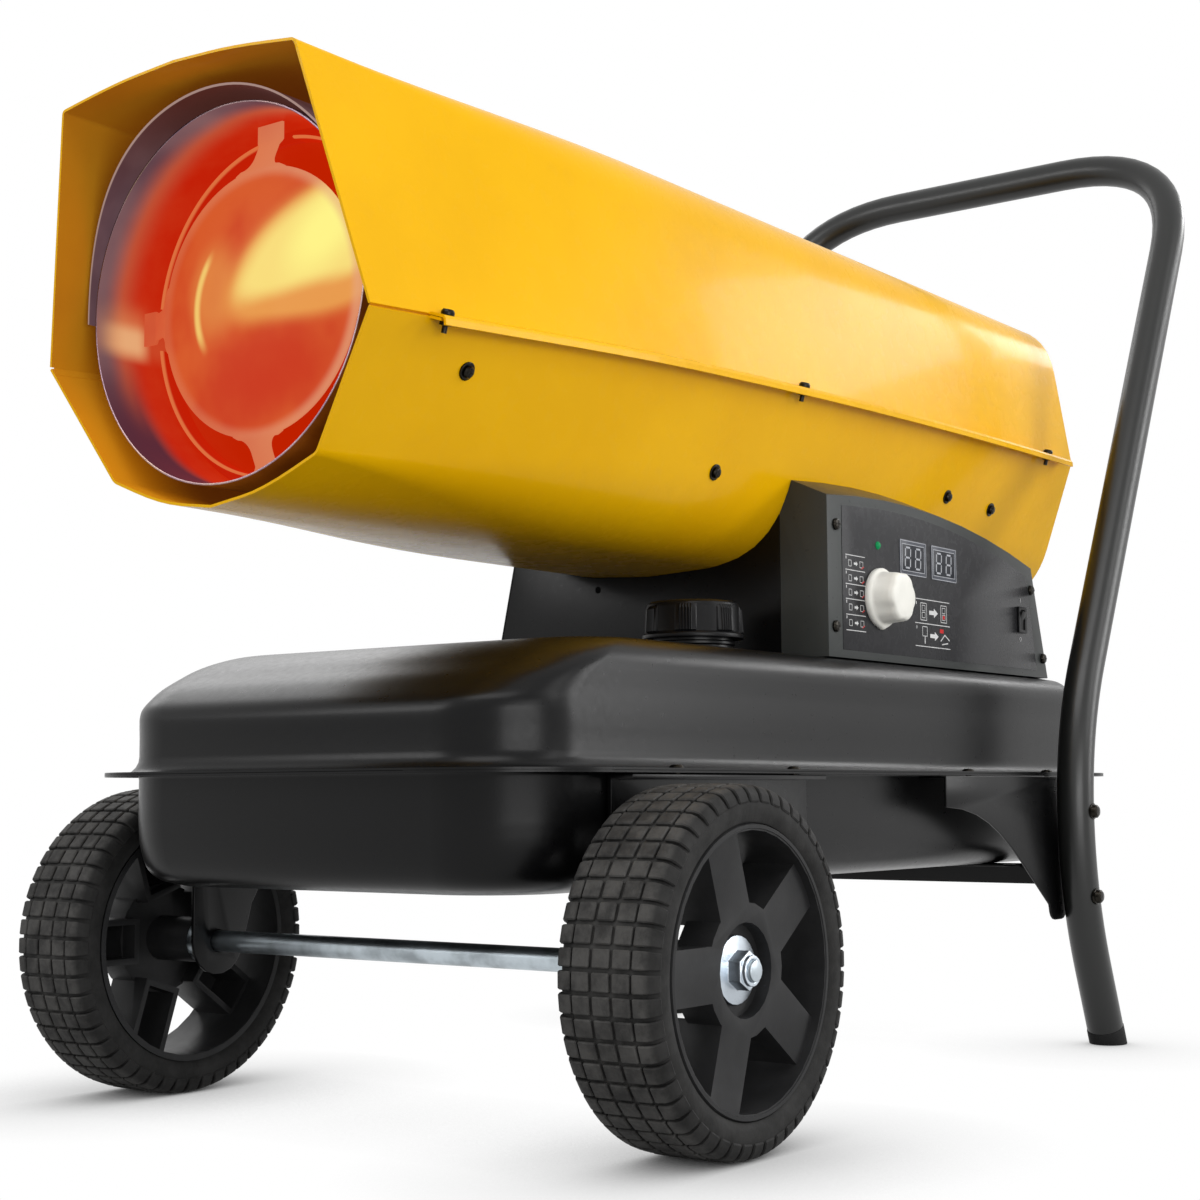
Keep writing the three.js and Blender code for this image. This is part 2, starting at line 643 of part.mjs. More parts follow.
// ---------------------------------------------------------------- burner
const nozzleAt = core(0);
const BURNER_T = 2.5;
const NOZZLE_R = 8;
const PLUG = [28, -60]; // radius from the core, angle
const SENSOR = [28, 140];
const onBurner = ([r, angle]) => {
  const a = THREE.MathUtils.degToRad(angle);
  return [r * Math.cos(a), 0, CORE_Z + r * Math.sin(a)];
};
const PLUG_R = 7;
const SENSOR_R = 6;
const BURNER_FRONT = CHAMBER_REAR + GAP;
const burner = turned("y", [
  [CHAMBER_HOLE_R + 6, BURNER_FRONT], [CHAMBER_HOLE_R + 20, BURNER_FRONT],
  [CHAMBER_HOLE_R + 20, BURNER_FRONT + 2], [BURNER_R, BURNER_FRONT + 2], [BURNER_R, BURNER_BACK],
  [NOZZLE_R + GAP, BURNER_BACK], [NOZZLE_R + GAP, BURNER_BACK - BURNER_T],
  [BURNER_R - BURNER_T, BURNER_BACK - BURNER_T], [BURNER_R - BURNER_T, BURNER_FRONT + 2],
], nozzleAt, 28);
const backHole = (where, r) => rod("y", r + GAP, BURNER_BACK - 8, BURNER_BACK + 8, onBurner(where), 14);
node("burner_head", "aluminium", cut(burner, backHole(PLUG, PLUG_R), backHole(SENSOR, SENSOR_R)));
node("fuel_nozzle", "brass", turned("y", [
  [0, BURNER_BACK - 26], [3, BURNER_BACK - 26], [NOZZLE_R, BURNER_BACK - 14], [NOZZLE_R, BURNER_BACK + GAP],
  [NOZZLE_R + 6, BURNER_BACK + GAP], [NOZZLE_R + 6, BURNER_BACK + 12], [0, BURNER_BACK + 12],
], nozzleAt, 12));
node("spark_plug", "ceramic", turned("y", [
  [0, BURNER_BACK - 36], [2, BURNER_BACK - 36], [4, BURNER_BACK - 18], [PLUG_R, BURNER_BACK - 12],
  [PLUG_R, BURNER_BACK + GAP], [PLUG_R + 3, BURNER_BACK + GAP], [PLUG_R + 3, BURNER_BACK + 7],
  [5, BURNER_BACK + 9], [5, BURNER_BACK + 26], [0, BURNER_BACK + 26],
], onBurner(PLUG), 12));
node("flame_sensor", "black plastic", turned("y", [
  [0, BURNER_BACK - 12], [SENSOR_R, BURNER_BACK - 12], [SENSOR_R, BURNER_BACK + GAP],
  [SENSOR_R + 3, BURNER_BACK + GAP], [SENSOR_R + 3, BURNER_BACK + 10], [0, BURNER_BACK + 10],
], onBurner(SENSOR), 12));

// ---------------------------------------------------------------- fan, motor, pump, guard
const PUMP_BACK = PUMP_FRONT + PUMP_L;
const SHAFT_FRONT = FAN_Y - FAN_HUB_L / 2 - 4;
const ROTOR_FRONT = PUMP_BACK - PUMP_CAVITY_L + 1;
const ROTOR_BACK = PUMP_BACK - 1;

function blade(k) {
  const root = FAN_HUB_R - 4;
  const tip = FAN_R;
  const half = BLADE_CHORD / 2;
  const outline = [[root, -half * 0.5], [mix(root, tip, 0.5), -half * 0.95], [tip - 6, -half],
    [tip, -half * 0.6], [tip, half * 0.75], [tip - 8, half], [mix(root, tip, 0.5), half * 0.8],
    [root, half * 0.5]];
  const made = new THREE.ExtrudeGeometry(shapeOf(outline), { depth: 2, bevelEnabled: false });
  made.translate(0, 0, -1);
  made.rotateX(THREE.MathUtils.degToRad(90 - BLADE_PITCH));
  made.rotateY((k * 2 * Math.PI) / FAN_BLADES);
  return moved(made, ...core(FAN_Y));
}
const fanLimit = rod("y", FAN_R, FAN_Y - 40, FAN_Y + 30, core(0), 30);
const fanBore = rod("y", SHAFT_R + GAP, FAN_Y - 60, FAN_Y + 60, core(0), 14);
const fanHub = turned("y", [
  [0, FAN_Y - FAN_HUB_L / 2], [FAN_HUB_R - 5, FAN_Y - FAN_HUB_L / 2], [FAN_HUB_R, FAN_Y - 8],
  [FAN_HUB_R, FAN_Y + FAN_HUB_L / 2], [0, FAN_Y + FAN_HUB_L / 2],
], core(0), 20);
const blades = [];
for (let k = 0; k < FAN_BLADES; k++) blades.push(blade(k));
node("fan", "aluminium", cut(join(fanHub, ...blades).intersect(fanLimit), fanBore));

node("motor_shaft", "zinc", rod("y", SHAFT_R, SHAFT_FRONT, ROTOR_BACK - 2, core(0), 14));
const BEARING_BORE = SHAFT_R + RUN;
node("motor", "black paint", turned("y", [
  [BEARING_BORE, MOTOR_FRONT - 14], [16, MOTOR_FRONT - 14], [18, MOTOR_FRONT], [MOTOR_R - 8, MOTOR_FRONT],
  [MOTOR_R, MOTOR_FRONT + 10], [MOTOR_R, MOTOR_REAR - 10], [MOTOR_R - 8, MOTOR_REAR],
  [BEARING_BORE, MOTOR_REAR],
], core(0), 28));

// Plate with a collar round the motor and two legs on the barrel's lower sides.
function motorPlate() {
  const collar = pipe("y", MOTOR_R + GAP, MOTOR_R + 12, MOTOR_BRACKET_Y - 2, MOTOR_BRACKET_Y + 2, core(0),
    28);
  const legs = [-58, 58].map((angle) => {
    const leg = new THREE.BoxGeometry(34, 4, 100);
    leg.translate(0, 0, -(MOTOR_R + 56)).rotateY(-THREE.MathUtils.degToRad(angle));
    return moved(leg, 0, MOTOR_BRACKET_Y, CORE_Z).intersect(inside);
  });
  return join(collar, ...legs);
}
node("motor_bracket", "black paint", motorPlate());

const pumpBore = rod("y", BEARING_BORE, PUMP_FRONT - 4, PUMP_BACK, core(0), 14);
const pumpCavity = rod("y", PUMP_CAVITY_R, PUMP_BACK - PUMP_CAVITY_L, PUMP_BACK + 4, core(0), 24);
const pumpBlank = rod("y", PUMP_R, PUMP_FRONT, PUMP_BACK, core(0), 28);
node("pump_body", "aluminium", cut(pumpBlank, pumpBore, pumpCavity));
node("pump_rotor", "zinc", cut(rod("y", PUMP_ROTOR_R, ROTOR_FRONT, ROTOR_BACK, core(0), 20),
  rod("y", SHAFT_R + GAP, ROTOR_FRONT - 4, ROTOR_BACK + 4, core(0), 14)));
node("pump_cover", "aluminium", turned("y", [
  [0, PUMP_BACK + GAP], [PUMP_R, PUMP_BACK + GAP], [PUMP_R, PUMP_BACK + PUMP_COVER_L],
  [PUMP_R - 10, PUMP_BACK + PUMP_COVER_L + 8], [0, PUMP_BACK + PUMP_COVER_L + 8],
], core(0), 28));

// Rear guard: one flat grille that fills the barrel's end, with slots between rings and spokes.
function guard() {
  const y1 = BARREL_REAR - GUARD_SET;
  const edge = (side) => inset(shellOutline(y1, side, 0), SHELL_T + GAP, -side);
  const rim = [...edge(1), ...edge(-1).slice(1, -1).reverse()];
  const slots = [];
  const bands = [[20, 38], [42, 60], [64, 82], [86, 104]];
  const sectors = 8;
  for (const [r0, r1] of bands) {
    const rib = 3 + 0.02 * r0;
    for (let k = 0; k < sectors; k++) {
      const from = (360 / sectors) * k;
      const to = from + 360 / sectors;
      const trim = (r) => THREE.MathUtils.radToDeg(rib / 2 / r);
      slots.push([
        ...arcPoints(0, CORE_Z, r1, from + trim(r1), to - trim(r1), 2),
        ...arcPoints(0, CORE_Z, r0, to - trim(r0), from + trim(r0), 2),
      ]);
    }
  }
  return crossways(rim, y1 - GUARD_T, y1, slots);
}
node("rear_guard", "black paint", guard());

// ---------------------------------------------------------------- fuel tank
// A ring of points at height z: a rectangle with round corners, set in by side (also at the rear) and
// by front, whose front corners have the radius r.
function tankRing(z, side, front, r) {
  const halfX = TANK_HALF_W - side;
  const y0 = TANK_FRONT + front;
  const y1 = TANK_REAR - side;
  const rearR = Math.max(TANK_CORNER_R - side, 20);
  const ring = [];
  const corners = [[halfX - rearR, y1 - rearR, 0, rearR], [-halfX + rearR, y1 - rearR, 90, rearR],
    [-halfX + r, y0 + r, 180, r], [halfX - r, y0 + r, 270, r]];
  for (const [x, y, from, radius] of corners) {
    for (const [u, v] of arcPoints(x, y, radius, from, from + 90, 4)) ring.push([u, v, z]);
  }
  return ring;
}

// Levels from the flange outwards: height, inset of the sides, inset of the front, front corner radius.
// Over the front wall the upper half slopes back in a rounded shape; each row of the slope holds its
// share of the rise, of the edge width, of the slope's length and of the corner radius.
const NOSE_Z = TANK_FLANGE_Z + TANK_NOSE_H;
const slope = [[0.1, 0.025, 0.01, 0.95], [0.206, 0.042, 0.041, 0.9], [0.33, 0.063, 0.113, 0.85],
  [0.474, 0.067, 0.219, 0.8], [0.619, 0.075, 0.368, 0.73], [0.763, 0.167, 0.519, 0.67],
  [0.876, 0.338, 0.673, 0.63], [0.959, 0.604, 0.827, 0.63], [1, 1, 1, 0.67]];
const upperLevels = [
  [TANK_FLANGE_Z + 4, -TANK_FILLET, -TANK_FILLET, TANK_CORNER_R + TANK_FILLET],
  [TANK_FLANGE_Z + 11, 0, 0, TANK_CORNER_R],
  [NOSE_Z - 8, 0, 0, TANK_CORNER_R],
  ...slope.map(([rise, edge, run, corner]) => [mix(NOSE_Z, TANK_TOP, rise), TANK_EDGE * edge,
    TANK_NOSE_RUN * run, TANK_CORNER_R * corner]),
];
const LOWER_H = TANK_FLANGE_Z - TANK_BOTTOM;
const edgeRow = (rise, edge) => [TANK_BOTTOM + LOWER_H * rise, TANK_EDGE * edge, TANK_EDGE * edge,
  TANK_CORNER_R - TANK_EDGE * edge * 0.5];
const lowerLevels = [
  [TANK_FLANGE_Z - 3, 0, 0, TANK_CORNER_R],
  edgeRow(0.36, 0.05), edgeRow(0.16, 0.2), edgeRow(0.05, 0.5), edgeRow(0, 1),
];

// One pressed half: from the middle of its outside over the levels to the flange and back inside. Its
// wall leaves the flange at a distance foot from the wall's own plane.
function tankHalf(levels, side, foot) {
  const rim = TANK_FLANGE_Z + (side * GAP) / 2;
  const t = TANK_WALL;
  const flange = (z, w) => tankRing(z, -w, -w, TANK_CORNER_R + w);
  return skin([
    ...levels.map(([z, s, f, r]) => tankRing(z, s, f, r)).reverse(),
    flange(rim + side * t, foot),
    flange(rim + side * t, TANK_FLANGE_W),
    flange(rim, TANK_FLANGE_W),
    flange(rim, -t),
    ...levels.slice(1).map(([z, s, f, r]) => tankRing(z - side * t, s + t, f + t, r - t)),
  ]);
}

const fillerAt = [FILLER_X, FILLER_Y, 0];
const NECK_TOP = TANK_TOP + NECK_H;
const NECK_BORE = NECK_R - NECK_WALL;
const PICKUP = [-60, 420];
const PICKUP_R = 5;
const neck = pipe("z", NECK_BORE, NECK_R, TANK_TOP - TANK_WALL, NECK_TOP, fillerAt, 28);
node("tank_upper", "black paint", join(cut(tankHalf(upperLevels, 1, 2.3 * TANK_FILLET),
  rod("z", NECK_BORE, TANK_TOP - 20, TANK_TOP + 20, fillerAt, 28),
  rod("z", PICKUP_R + GAP, TANK_TOP - 20, TANK_TOP + 20, [...PICKUP, 0], 12)), neck));

const DRAIN = [0, 600];
const DRAIN_R = 8;
node("tank_lower", "black paint", cut(tankHalf(lowerLevels, -1, 1),
  rod("z", DRAIN_R + GAP, TANK_BOTTOM - 20, TANK_BOTTOM + 20, [...DRAIN, 0], 14)));
node("drain_plug", "zinc", join(
  rod("z", DRAIN_R, TANK_BOTTOM - GAP - 1, TANK_BOTTOM + 8, [...DRAIN, 0], 14),
  rod("z", DRAIN_R + 4, TANK_BOTTOM - GAP - 7, TANK_BOTTOM - GAP, [...DRAIN, 0], 6)));

// Filler: a seal that rises with the cap on its thread, a ribbed cap, and a strainer in the neck.
const SEAL_T = 2.5;
const CAP_BOTTOM = TANK_TOP + CAP_LIFT;
const CAP_TOP = CAP_BOTTOM + CAP_H;
const SEAL_BOTTOM = NECK_TOP + GAP;
const CAP_ROOF = SEAL_BOTTOM + SEAL_T + GAP;
node("fuel_cap_seal", "rubber", pipe("z", NECK_BORE - 4, NECK_R - GAP, SEAL_BOTTOM,
  SEAL_BOTTOM + SEAL_T, fillerAt, 28));
function fuelCap() {
  const body = turned("z", [
    [NECK_R + 1.2, CAP_BOTTOM], [CAP_R, CAP_BOTTOM], [CAP_R, CAP_BOTTOM + 4], [CAP_R - 2.5, CAP_BOTTOM + 5],
    [CAP_R - 3, CAP_TOP - 4], [CAP_R - 6, CAP_TOP], [0, CAP_TOP], [0, CAP_ROOF], [NECK_R + 1.2, CAP_ROOF],
  ], fillerAt, 32);
  const ribs = [];
  for (let k = 0; k < CAP_RIBS; k++) {
    const rib = new THREE.BoxGeometry(6, 16, CAP_H - 8);
    rib.translate(CAP_R - 4.5, 0, CAP_BOTTOM + (CAP_H - 8) / 2 + 3)
      .rotateZ(THREE.MathUtils.degToRad(CAP_TURN + (k * 360) / CAP_RIBS));
    ribs.push(moved(rib, ...fillerAt));
  }
  const bore = rod("z", NECK_R + 1.2, CAP_BOTTOM - 5, CAP_ROOF, fillerAt, 32);
  const limit = rod("z", CAP_R, CAP_BOTTOM, CAP_TOP, fillerAt, 32);
  return cut(join(body, ...ribs).intersect(limit), bore);
}
node("fuel_cap", "black plastic", fuelCap());
const STRAINER_L = 60;
node("filler_strainer", "zinc", turned("z", [
  [NECK_BORE - 1 - GAP, NECK_TOP - 1], [NECK_BORE - 1 - GAP, NECK_TOP - STRAINER_L],
  [0, NECK_TOP - STRAINER_L], [0, NECK_TOP - STRAINER_L - 1.2],
  [NECK_BORE - GAP, NECK_TOP - STRAINER_L - 1.2], [NECK_BORE - GAP, NECK_TOP - 1],
].reverse(), fillerAt, 24));

// Fuel pickup: a flange on the tank's top, a tube down into the tank and a strainer at its foot.
const PICKUP_FOOT = TANK_BOTTOM + 12;
const PICKUP_HEAD = TANK_TOP + GAP;
node("fuel_pickup", "brass", turned("z", [
  [0, PICKUP_FOOT], [11, PICKUP_FOOT], [11, PICKUP_FOOT + 26], [PICKUP_R, PICKUP_FOOT + 30],
  [PICKUP_R, PICKUP_HEAD], [14, PICKUP_HEAD], [14, PICKUP_HEAD + 6], [PICKUP_R, PICKUP_HEAD + 6],
  [PICKUP_R, PICKUP_HEAD + 16], [0, PICKUP_HEAD + 16],
], [...PICKUP, 0], 14));

// ---------------------------------------------------------------- support and control box
const FLOOR_Z = TANK_TOP + GAP;
const BOX_FLOOR = FLOOR_Z + BOX_SHEET;
const PANEL_X = BOX_BASE_HALF;
const sideLean = (z) => mix(BOX_FAR_HALF, BOX_TOP_HALF, (z - FLOOR_Z) / (BOX_TOP_Z - FLOOR_Z));

// Bent sheet with a front wall, a floor on the tank and a rear wall, cut out for the barrel.
function supportFrame() {
  const right = -sideLean(FLOOR_Z) + BOX_SHEET + GAP;
  const rightTop = -sideLean(BOX_TOP_Z) + BOX_SHEET + GAP;
  const left = PANEL_JOINT_X - GAP;
  const wall = [[right, FLOOR_Z], [left, FLOOR_Z], [left, BOX_TOP_Z], [rightTop, BOX_TOP_Z]];
  const front = crossways(wall, BOX_FRONT, BOX_FRONT + BOX_SHEET);
  const rear = crossways(wall, BOX_REAR - BOX_SHEET, BOX_REAR);
  const floor = block(right + 1, left, BOX_FRONT, BOX_REAR, FLOOR_Z, BOX_FLOOR);
  const glandHole = rod("y", 9 + GAP, BOX_REAR - 10, BOX_REAR + 10, [-70, 0, 325], 14);
  const pickupHole = rod("z", 14 + GAP, FLOOR_Z - 5, BOX_FLOOR + 5, [...PICKUP, 0], 16);
  return cut(join(front, rear, floor), around, glandHole, pickupHole);
}
node("support_frame", "black paint", supportFrame());

// The leaning cover on the far side.
const coverSlope = [[-sideLean(FLOOR_Z), FLOOR_Z], [-sideLean(FLOOR_Z) + BOX_SHEET, FLOOR_Z],
  [-sideLean(BOX_TOP_Z) + BOX_SHEET, BOX_TOP_Z], [-sideLean(BOX_TOP_Z), BOX_TOP_Z]];
node("right_side_cover", "black paint", cut(crossways(coverSlope, BOX_FRONT, BOX_REAR), around));

// Panel outline in y and z, set in by t: straight front edge, curved top, leaning rear edge.
function panelOutline(t) {
  const curve = new THREE.QuadraticBezierCurve(
    new THREE.Vector2(BOX_REAR - PANEL_REAR_LEAN - t, PANEL_REAR_Z - t),
    new THREE.Vector2(PANEL_CROWN[0], PANEL_CROWN[1] - t),
    new THREE.Vector2(BOX_FRONT + t, PANEL_FRONT_Z - t),
  );
  return [[BOX_FRONT + t, FLOOR_Z + t], [BOX_REAR - t, FLOOR_Z + t],
    ...curve.getPoints(8).map((p) => [p.x, p.y])];
}
const CHAMFER_RISE = 0.45; // the strip over the panel rises this much for each millimetre inwards
function controlCover() {
  const deep = PANEL_X - PANEL_JOINT_X;
  const grown = (t) => {
    const flat = panelOutline(t);
    const low = flat.map(([y, z]) => [PANEL_X - t, y, z]);
    const high = flat.map(([y, z], i) => [PANEL_JOINT_X - (t ? 4 : 0), y,
      i > 1 ? z + deep * CHAMFER_RISE : z]);
    return skin([low, high]);
  };
  const holes = [
    rod("x", 5, PANEL_X - 10, PANEL_X + 5, [0, KNOB_Y, KNOB_Z], 14),
    rod("x", LAMP_R + GAP, PANEL_X - 10, PANEL_X + 5, [0, LAMP_Y, LAMP_Z], 12),
    block(PANEL_X - 10, PANEL_X + 5, SWITCH_Y - 6, SWITCH_Y + 6, SWITCH_Z - 9.5, SWITCH_Z + 9.5),
    ...DISPLAY_Y.map((y) => block(PANEL_X - 10, PANEL_X + 5, y - DISPLAY_W / 2, y + DISPLAY_W / 2,
      DISPLAY_Z - DISPLAY_H / 2, DISPLAY_Z + DISPLAY_H / 2)),
  ];
  return cut(grown(0), grown(BOX_SHEET), around, ...holes);
}
node("control_cover", "black paint", controlCover());

// Thermostat behind the panel, its spindle and its knob.
const BEHIND = PANEL_X - BOX_SHEET - GAP;
const knobAt = [0, KNOB_Y, KNOB_Z];
node("thermostat_body", "black plastic", turned("x", [
  [SPINDLE_R + RUN, BEHIND - 16], [12, BEHIND - 16], [12, BEHIND], [4.6, BEHIND], [4.6, PANEL_X + 4],
  [SPINDLE_R + RUN, PANEL_X + 4],
], knobAt, 14));
node("thermostat_spindle", "zinc", rod("x", SPINDLE_R, BEHIND - 12, PANEL_X + 14, knobAt, 12));
function knob() {
  const face = PANEL_X + GAP;
  const skirt = turned("x", [[0, face], [KNOB_R, face], [KNOB_R, face + 4], [KNOB_R - 2, face + 6],
    [KNOB_R - 3.5, face + KNOB_L - 3], [KNOB_R - 5.5, face + KNOB_L], [0, face + KNOB_L]], knobAt, 24);
  const pointer = sideways([[KNOB_Y - 4, KNOB_Z - KNOB_R + 3], [KNOB_Y, KNOB_Z - KNOB_R - 2.5],
    [KNOB_Y + 4, KNOB_Z - KNOB_R + 3]], face, face + 5);
  const hollow = turned("x", [[0, face - 5], [7, face - 5], [7, face + 6], [SPINDLE_R + GAP, face + 6],
    [SPINDLE_R + GAP, face + 15], [0, face + 15]], knobAt, 14);
  return cut(join(skirt, pointer), hollow);
}
node("thermostat_knob", "ivory plastic", knob());

// Rocker switch: a bezel on the panel with a body behind it, and a rocker that tilts about its middle.
const SWITCH_BACK = PANEL_X - 18;
const BEZEL_T = 2.2;
const ROCKER_AXIS_X = PANEL_X - 2;
const ROCKER_HALF = 7.4;
function switchBody() {
  const bezel = block(PANEL_X + GAP, PANEL_X + BEZEL_T, SWITCH_Y - SWITCH_W / 2, SWITCH_Y + SWITCH_W / 2,
    SWITCH_Z - SWITCH_H / 2, SWITCH_Z + SWITCH_H / 2);
  const body = block(SWITCH_BACK, PANEL_X + 1, SWITCH_Y - 5.7, SWITCH_Y + 5.7, SWITCH_Z - 9.2,
    SWITCH_Z + 9.2);
  const well = block(PANEL_X - 9, PANEL_X + 5, SWITCH_Y - 4.2, SWITCH_Y + 4.2, SWITCH_Z - 8.2,
    SWITCH_Z + 8.2);
  const pin = rod("y", 1, SWITCH_Y - 5, SWITCH_Y + 5, [ROCKER_AXIS_X, 0, SWITCH_Z], 10);
  return join(cut(join(bezel, body), well), pin);
}
node("switch_body", "black plastic", switchBody());
function rocker() {
  const outline = [[-4, -ROCKER_HALF + 1.6], [1.5, -ROCKER_HALF], [4.6, -ROCKER_HALF], [3.4, 0],
    [4.6, ROCKER_HALF], [1.5, ROCKER_HALF], [-4, ROCKER_HALF - 1.6]];
  const made = new THREE.ExtrudeGeometry(shapeOf(outline, [circle(0, 0, 1 + RUN, 10)]),
    { depth: 7.6, bevelEnabled: false });
  made.translate(0, 0, -3.8).rotateX(Math.PI / 2);
  made.rotateY(THREE.MathUtils.degToRad(ROCKER_TILT));
  return moved(made, ROCKER_AXIS_X, SWITCH_Y, SWITCH_Z);
}
node("switch_rocker", "black plastic", rocker());

// Two display windows on one board behind the panel, and the green lamp.
const windows = DISPLAY_Y.map((y) => block(BEHIND - 6, PANEL_X - GAP, y - DISPLAY_W / 2 + GAP,
  y + DISPLAY_W / 2 - GAP, DISPLAY_Z - DISPLAY_H / 2 + GAP, DISPLAY_Z + DISPLAY_H / 2 - GAP));
const displayPosts = [DISPLAY_Y[0] - 22, DISPLAY_Y[1] + 22].map((y) =>
  rod("x", 2, BEHIND - 7, BEHIND, [0, y, DISPLAY_Z], 8));
node("display_board", "display window", join(...windows, ...displayPosts,
  block(BEHIND - 7.6, BEHIND - 5.9, DISPLAY_Y[0] - 26, DISPLAY_Y[1] + 26, DISPLAY_Z - 16, DISPLAY_Z + 16)));
node("power_lamp", "green lamp", turned("x", [
  [0, BEHIND - 5], [LAMP_R + 1.2, BEHIND - 5], [LAMP_R + 1.2, BEHIND], [LAMP_R, BEHIND],
  [LAMP_R, PANEL_X + 1], [LAMP_R - 1.4, PANEL_X + 2.4], [0, PANEL_X + 2.4],
], [0, LAMP_Y, LAMP_Z], 12));

// What stands on the support's floor: the control board on four posts and the ignition transformer.
const BOARD = { x: 60, y: 470, w: 80, l: 100, t: 1.6, lift: 8, post: 2.5, postSet: 6 };
const COIL = { w: 18, l: 35, h: 18 };
const RELAY = { w: 22, l: 20, h: 14 };
function controlBoard() {
  const low = BOX_FLOOR + BOARD.lift;
  const onBoard = (x, y, { w, l, h }) => block(x - w / 2, x + w / 2, y - l / 2, y + l / 2, low + 1, low + h);
  const reachX = BOARD.w / 2 - BOARD.postSet;
  const reachY = BOARD.l / 2 - BOARD.postSet;
  const posts = [[-reachX, -reachY], [reachX, -reachY], [-reachX, reachY], [reachX, reachY]].map(([x, y]) =>
    rod("z", BOARD.post, BOX_FLOOR + GAP, low + 0.5, [BOARD.x + x, BOARD.y + y, 0], 8));
  return join(block(BOARD.x - BOARD.w / 2, BOARD.x + BOARD.w / 2, BOARD.y - BOARD.l / 2,
    BOARD.y + BOARD.l / 2, low, low + BOARD.t), onBoard(BOARD.x - BOARD.w / 7, BOARD.y - BOARD.l / 8, COIL),
  onBoard(BOARD.x + BOARD.w / 5, BOARD.y + BOARD.l / 4, RELAY), ...posts);
}
node("control_board", "board", controlBoard());

const TRANSFORMER = { x: -70, y: 520, w: 70, l: 80, h: 44, post: 7, postH: 10, postY: 15 };
const coilTop = BOX_FLOOR + TRANSFORMER.h;
node("ignition_transformer", "black plastic", join(
  block(TRANSFORMER.x - TRANSFORMER.w / 2, TRANSFORMER.x + TRANSFORMER.w / 2,
    TRANSFORMER.y - TRANSFORMER.l / 2, TRANSFORMER.y + TRANSFORMER.l / 2, BOX_FLOOR + GAP, coilTop),
  ...[-TRANSFORMER.postY, TRANSFORMER.postY].map((y) => rod("z", TRANSFORMER.post, coilTop - 4,
    coilTop + TRANSFORMER.postH, [TRANSFORMER.x, TRANSFORMER.y + y, 0], 12))));
node("cable_gland", "black plastic", turned("y", [
  [5, BOX_REAR - BOX_SHEET - 6], [12, BOX_REAR - BOX_SHEET - 6], [12, BOX_REAR - BOX_SHEET - GAP],
  [9, BOX_REAR - BOX_SHEET - GAP], [9, BOX_REAR + GAP], [13, BOX_REAR + GAP], [11, BOX_REAR + 12],
  [5, BOX_REAR + 14],
], [-70, 0, 325], 14));

// Hoses: air from the pump and fuel from the pickup, both up to the burner through the barrel's floor.
const HOSE_LOW = BOX_FLOOR + 26;
const under = (r) => CORE_Z - Math.sqrt(r ** 2 - (HOSE_X.air - HOSE_R) ** 2) - GAP;
const PUMP_UNDER = under(PUMP_R);
const BURNER_UNDER = under(BURNER_R);
node("air_hose", "hose", tube([
  [HOSE_X.air, PUMP_PORT_Y, PUMP_UNDER], [HOSE_X.air, PUMP_PORT_Y, HOSE_LOW + 6],
  [HOSE_X.air, PUMP_PORT_Y - 50, HOSE_LOW], [HOSE_X.air, BURNER_PORT_Y + 40, HOSE_LOW],
  [HOSE_X.air, BURNER_PORT_Y, HOSE_LOW + 6], [HOSE_X.air, BURNER_PORT_Y, BURNER_UNDER],
], [22, 22, 18, 18], HOSE_R, 0, 8, 4));
node("fuel_hose", "hose", tube([
  [PICKUP[0], PICKUP[1], PICKUP_HEAD + 16 + GAP], [PICKUP[0], PICKUP[1], HOSE_LOW + 12],
  [HOSE_X.fuel, BURNER_PORT_Y + 30, HOSE_LOW + 14], [HOSE_X.fuel, BURNER_PORT_Y, HOSE_LOW + 24],
  [HOSE_X.fuel, BURNER_PORT_Y, BURNER_UNDER],
], [8, 16, 14], HOSE_R, 0, 8, 4));

// ---------------------------------------------------------------- wheels and axle
const AXLE_Z = WHEEL_R;
const axleAt = [0, 0, AXLE_Z];
const TYRE_IN = WHEEL_OUT_X - TYRE_W;
const RIM_OUT = WHEEL_OUT_X - RIM_LIP;
const RIM_IN = TYRE_IN + RIM_LIP;
const SPOKE_FACE = RIM_OUT - SPOKE_SET;
const SPOKE_BACK = SPOKE_FACE - SPOKE_DEPTH;
const RECESS_FLOOR = SPOKE_FACE - HUB_RECESS;
const BORE_R = AXLE_R + RUN + 0.1;
const SPACER_IN = BRACKET_X + BRACKET_T + GAP;
const HUB_IN = TYRE_IN - 5;
const WASHER_IN = RECESS_FLOOR + GAP;

function tyre() {
  const half = TYRE_W / 2;
  const mid = WHEEL_OUT_X - half;
  const flank = [[RIM_R + GAP + 0.4, half - 3], [RIM_R + 9, half], [WHEEL_R - 8, half - 0.5],
    [WHEEL_R - 2.5, half - 4], [WHEEL_R, half - 15]];
  const outer = flank.map(([r, a]) => [r, mid + a]);
  const inner = flank.map(([r, a]) => [r, mid - a]).reverse();
  return turned("x", [...outer, ...inner], axleAt, WHEEL_SEGS);
}

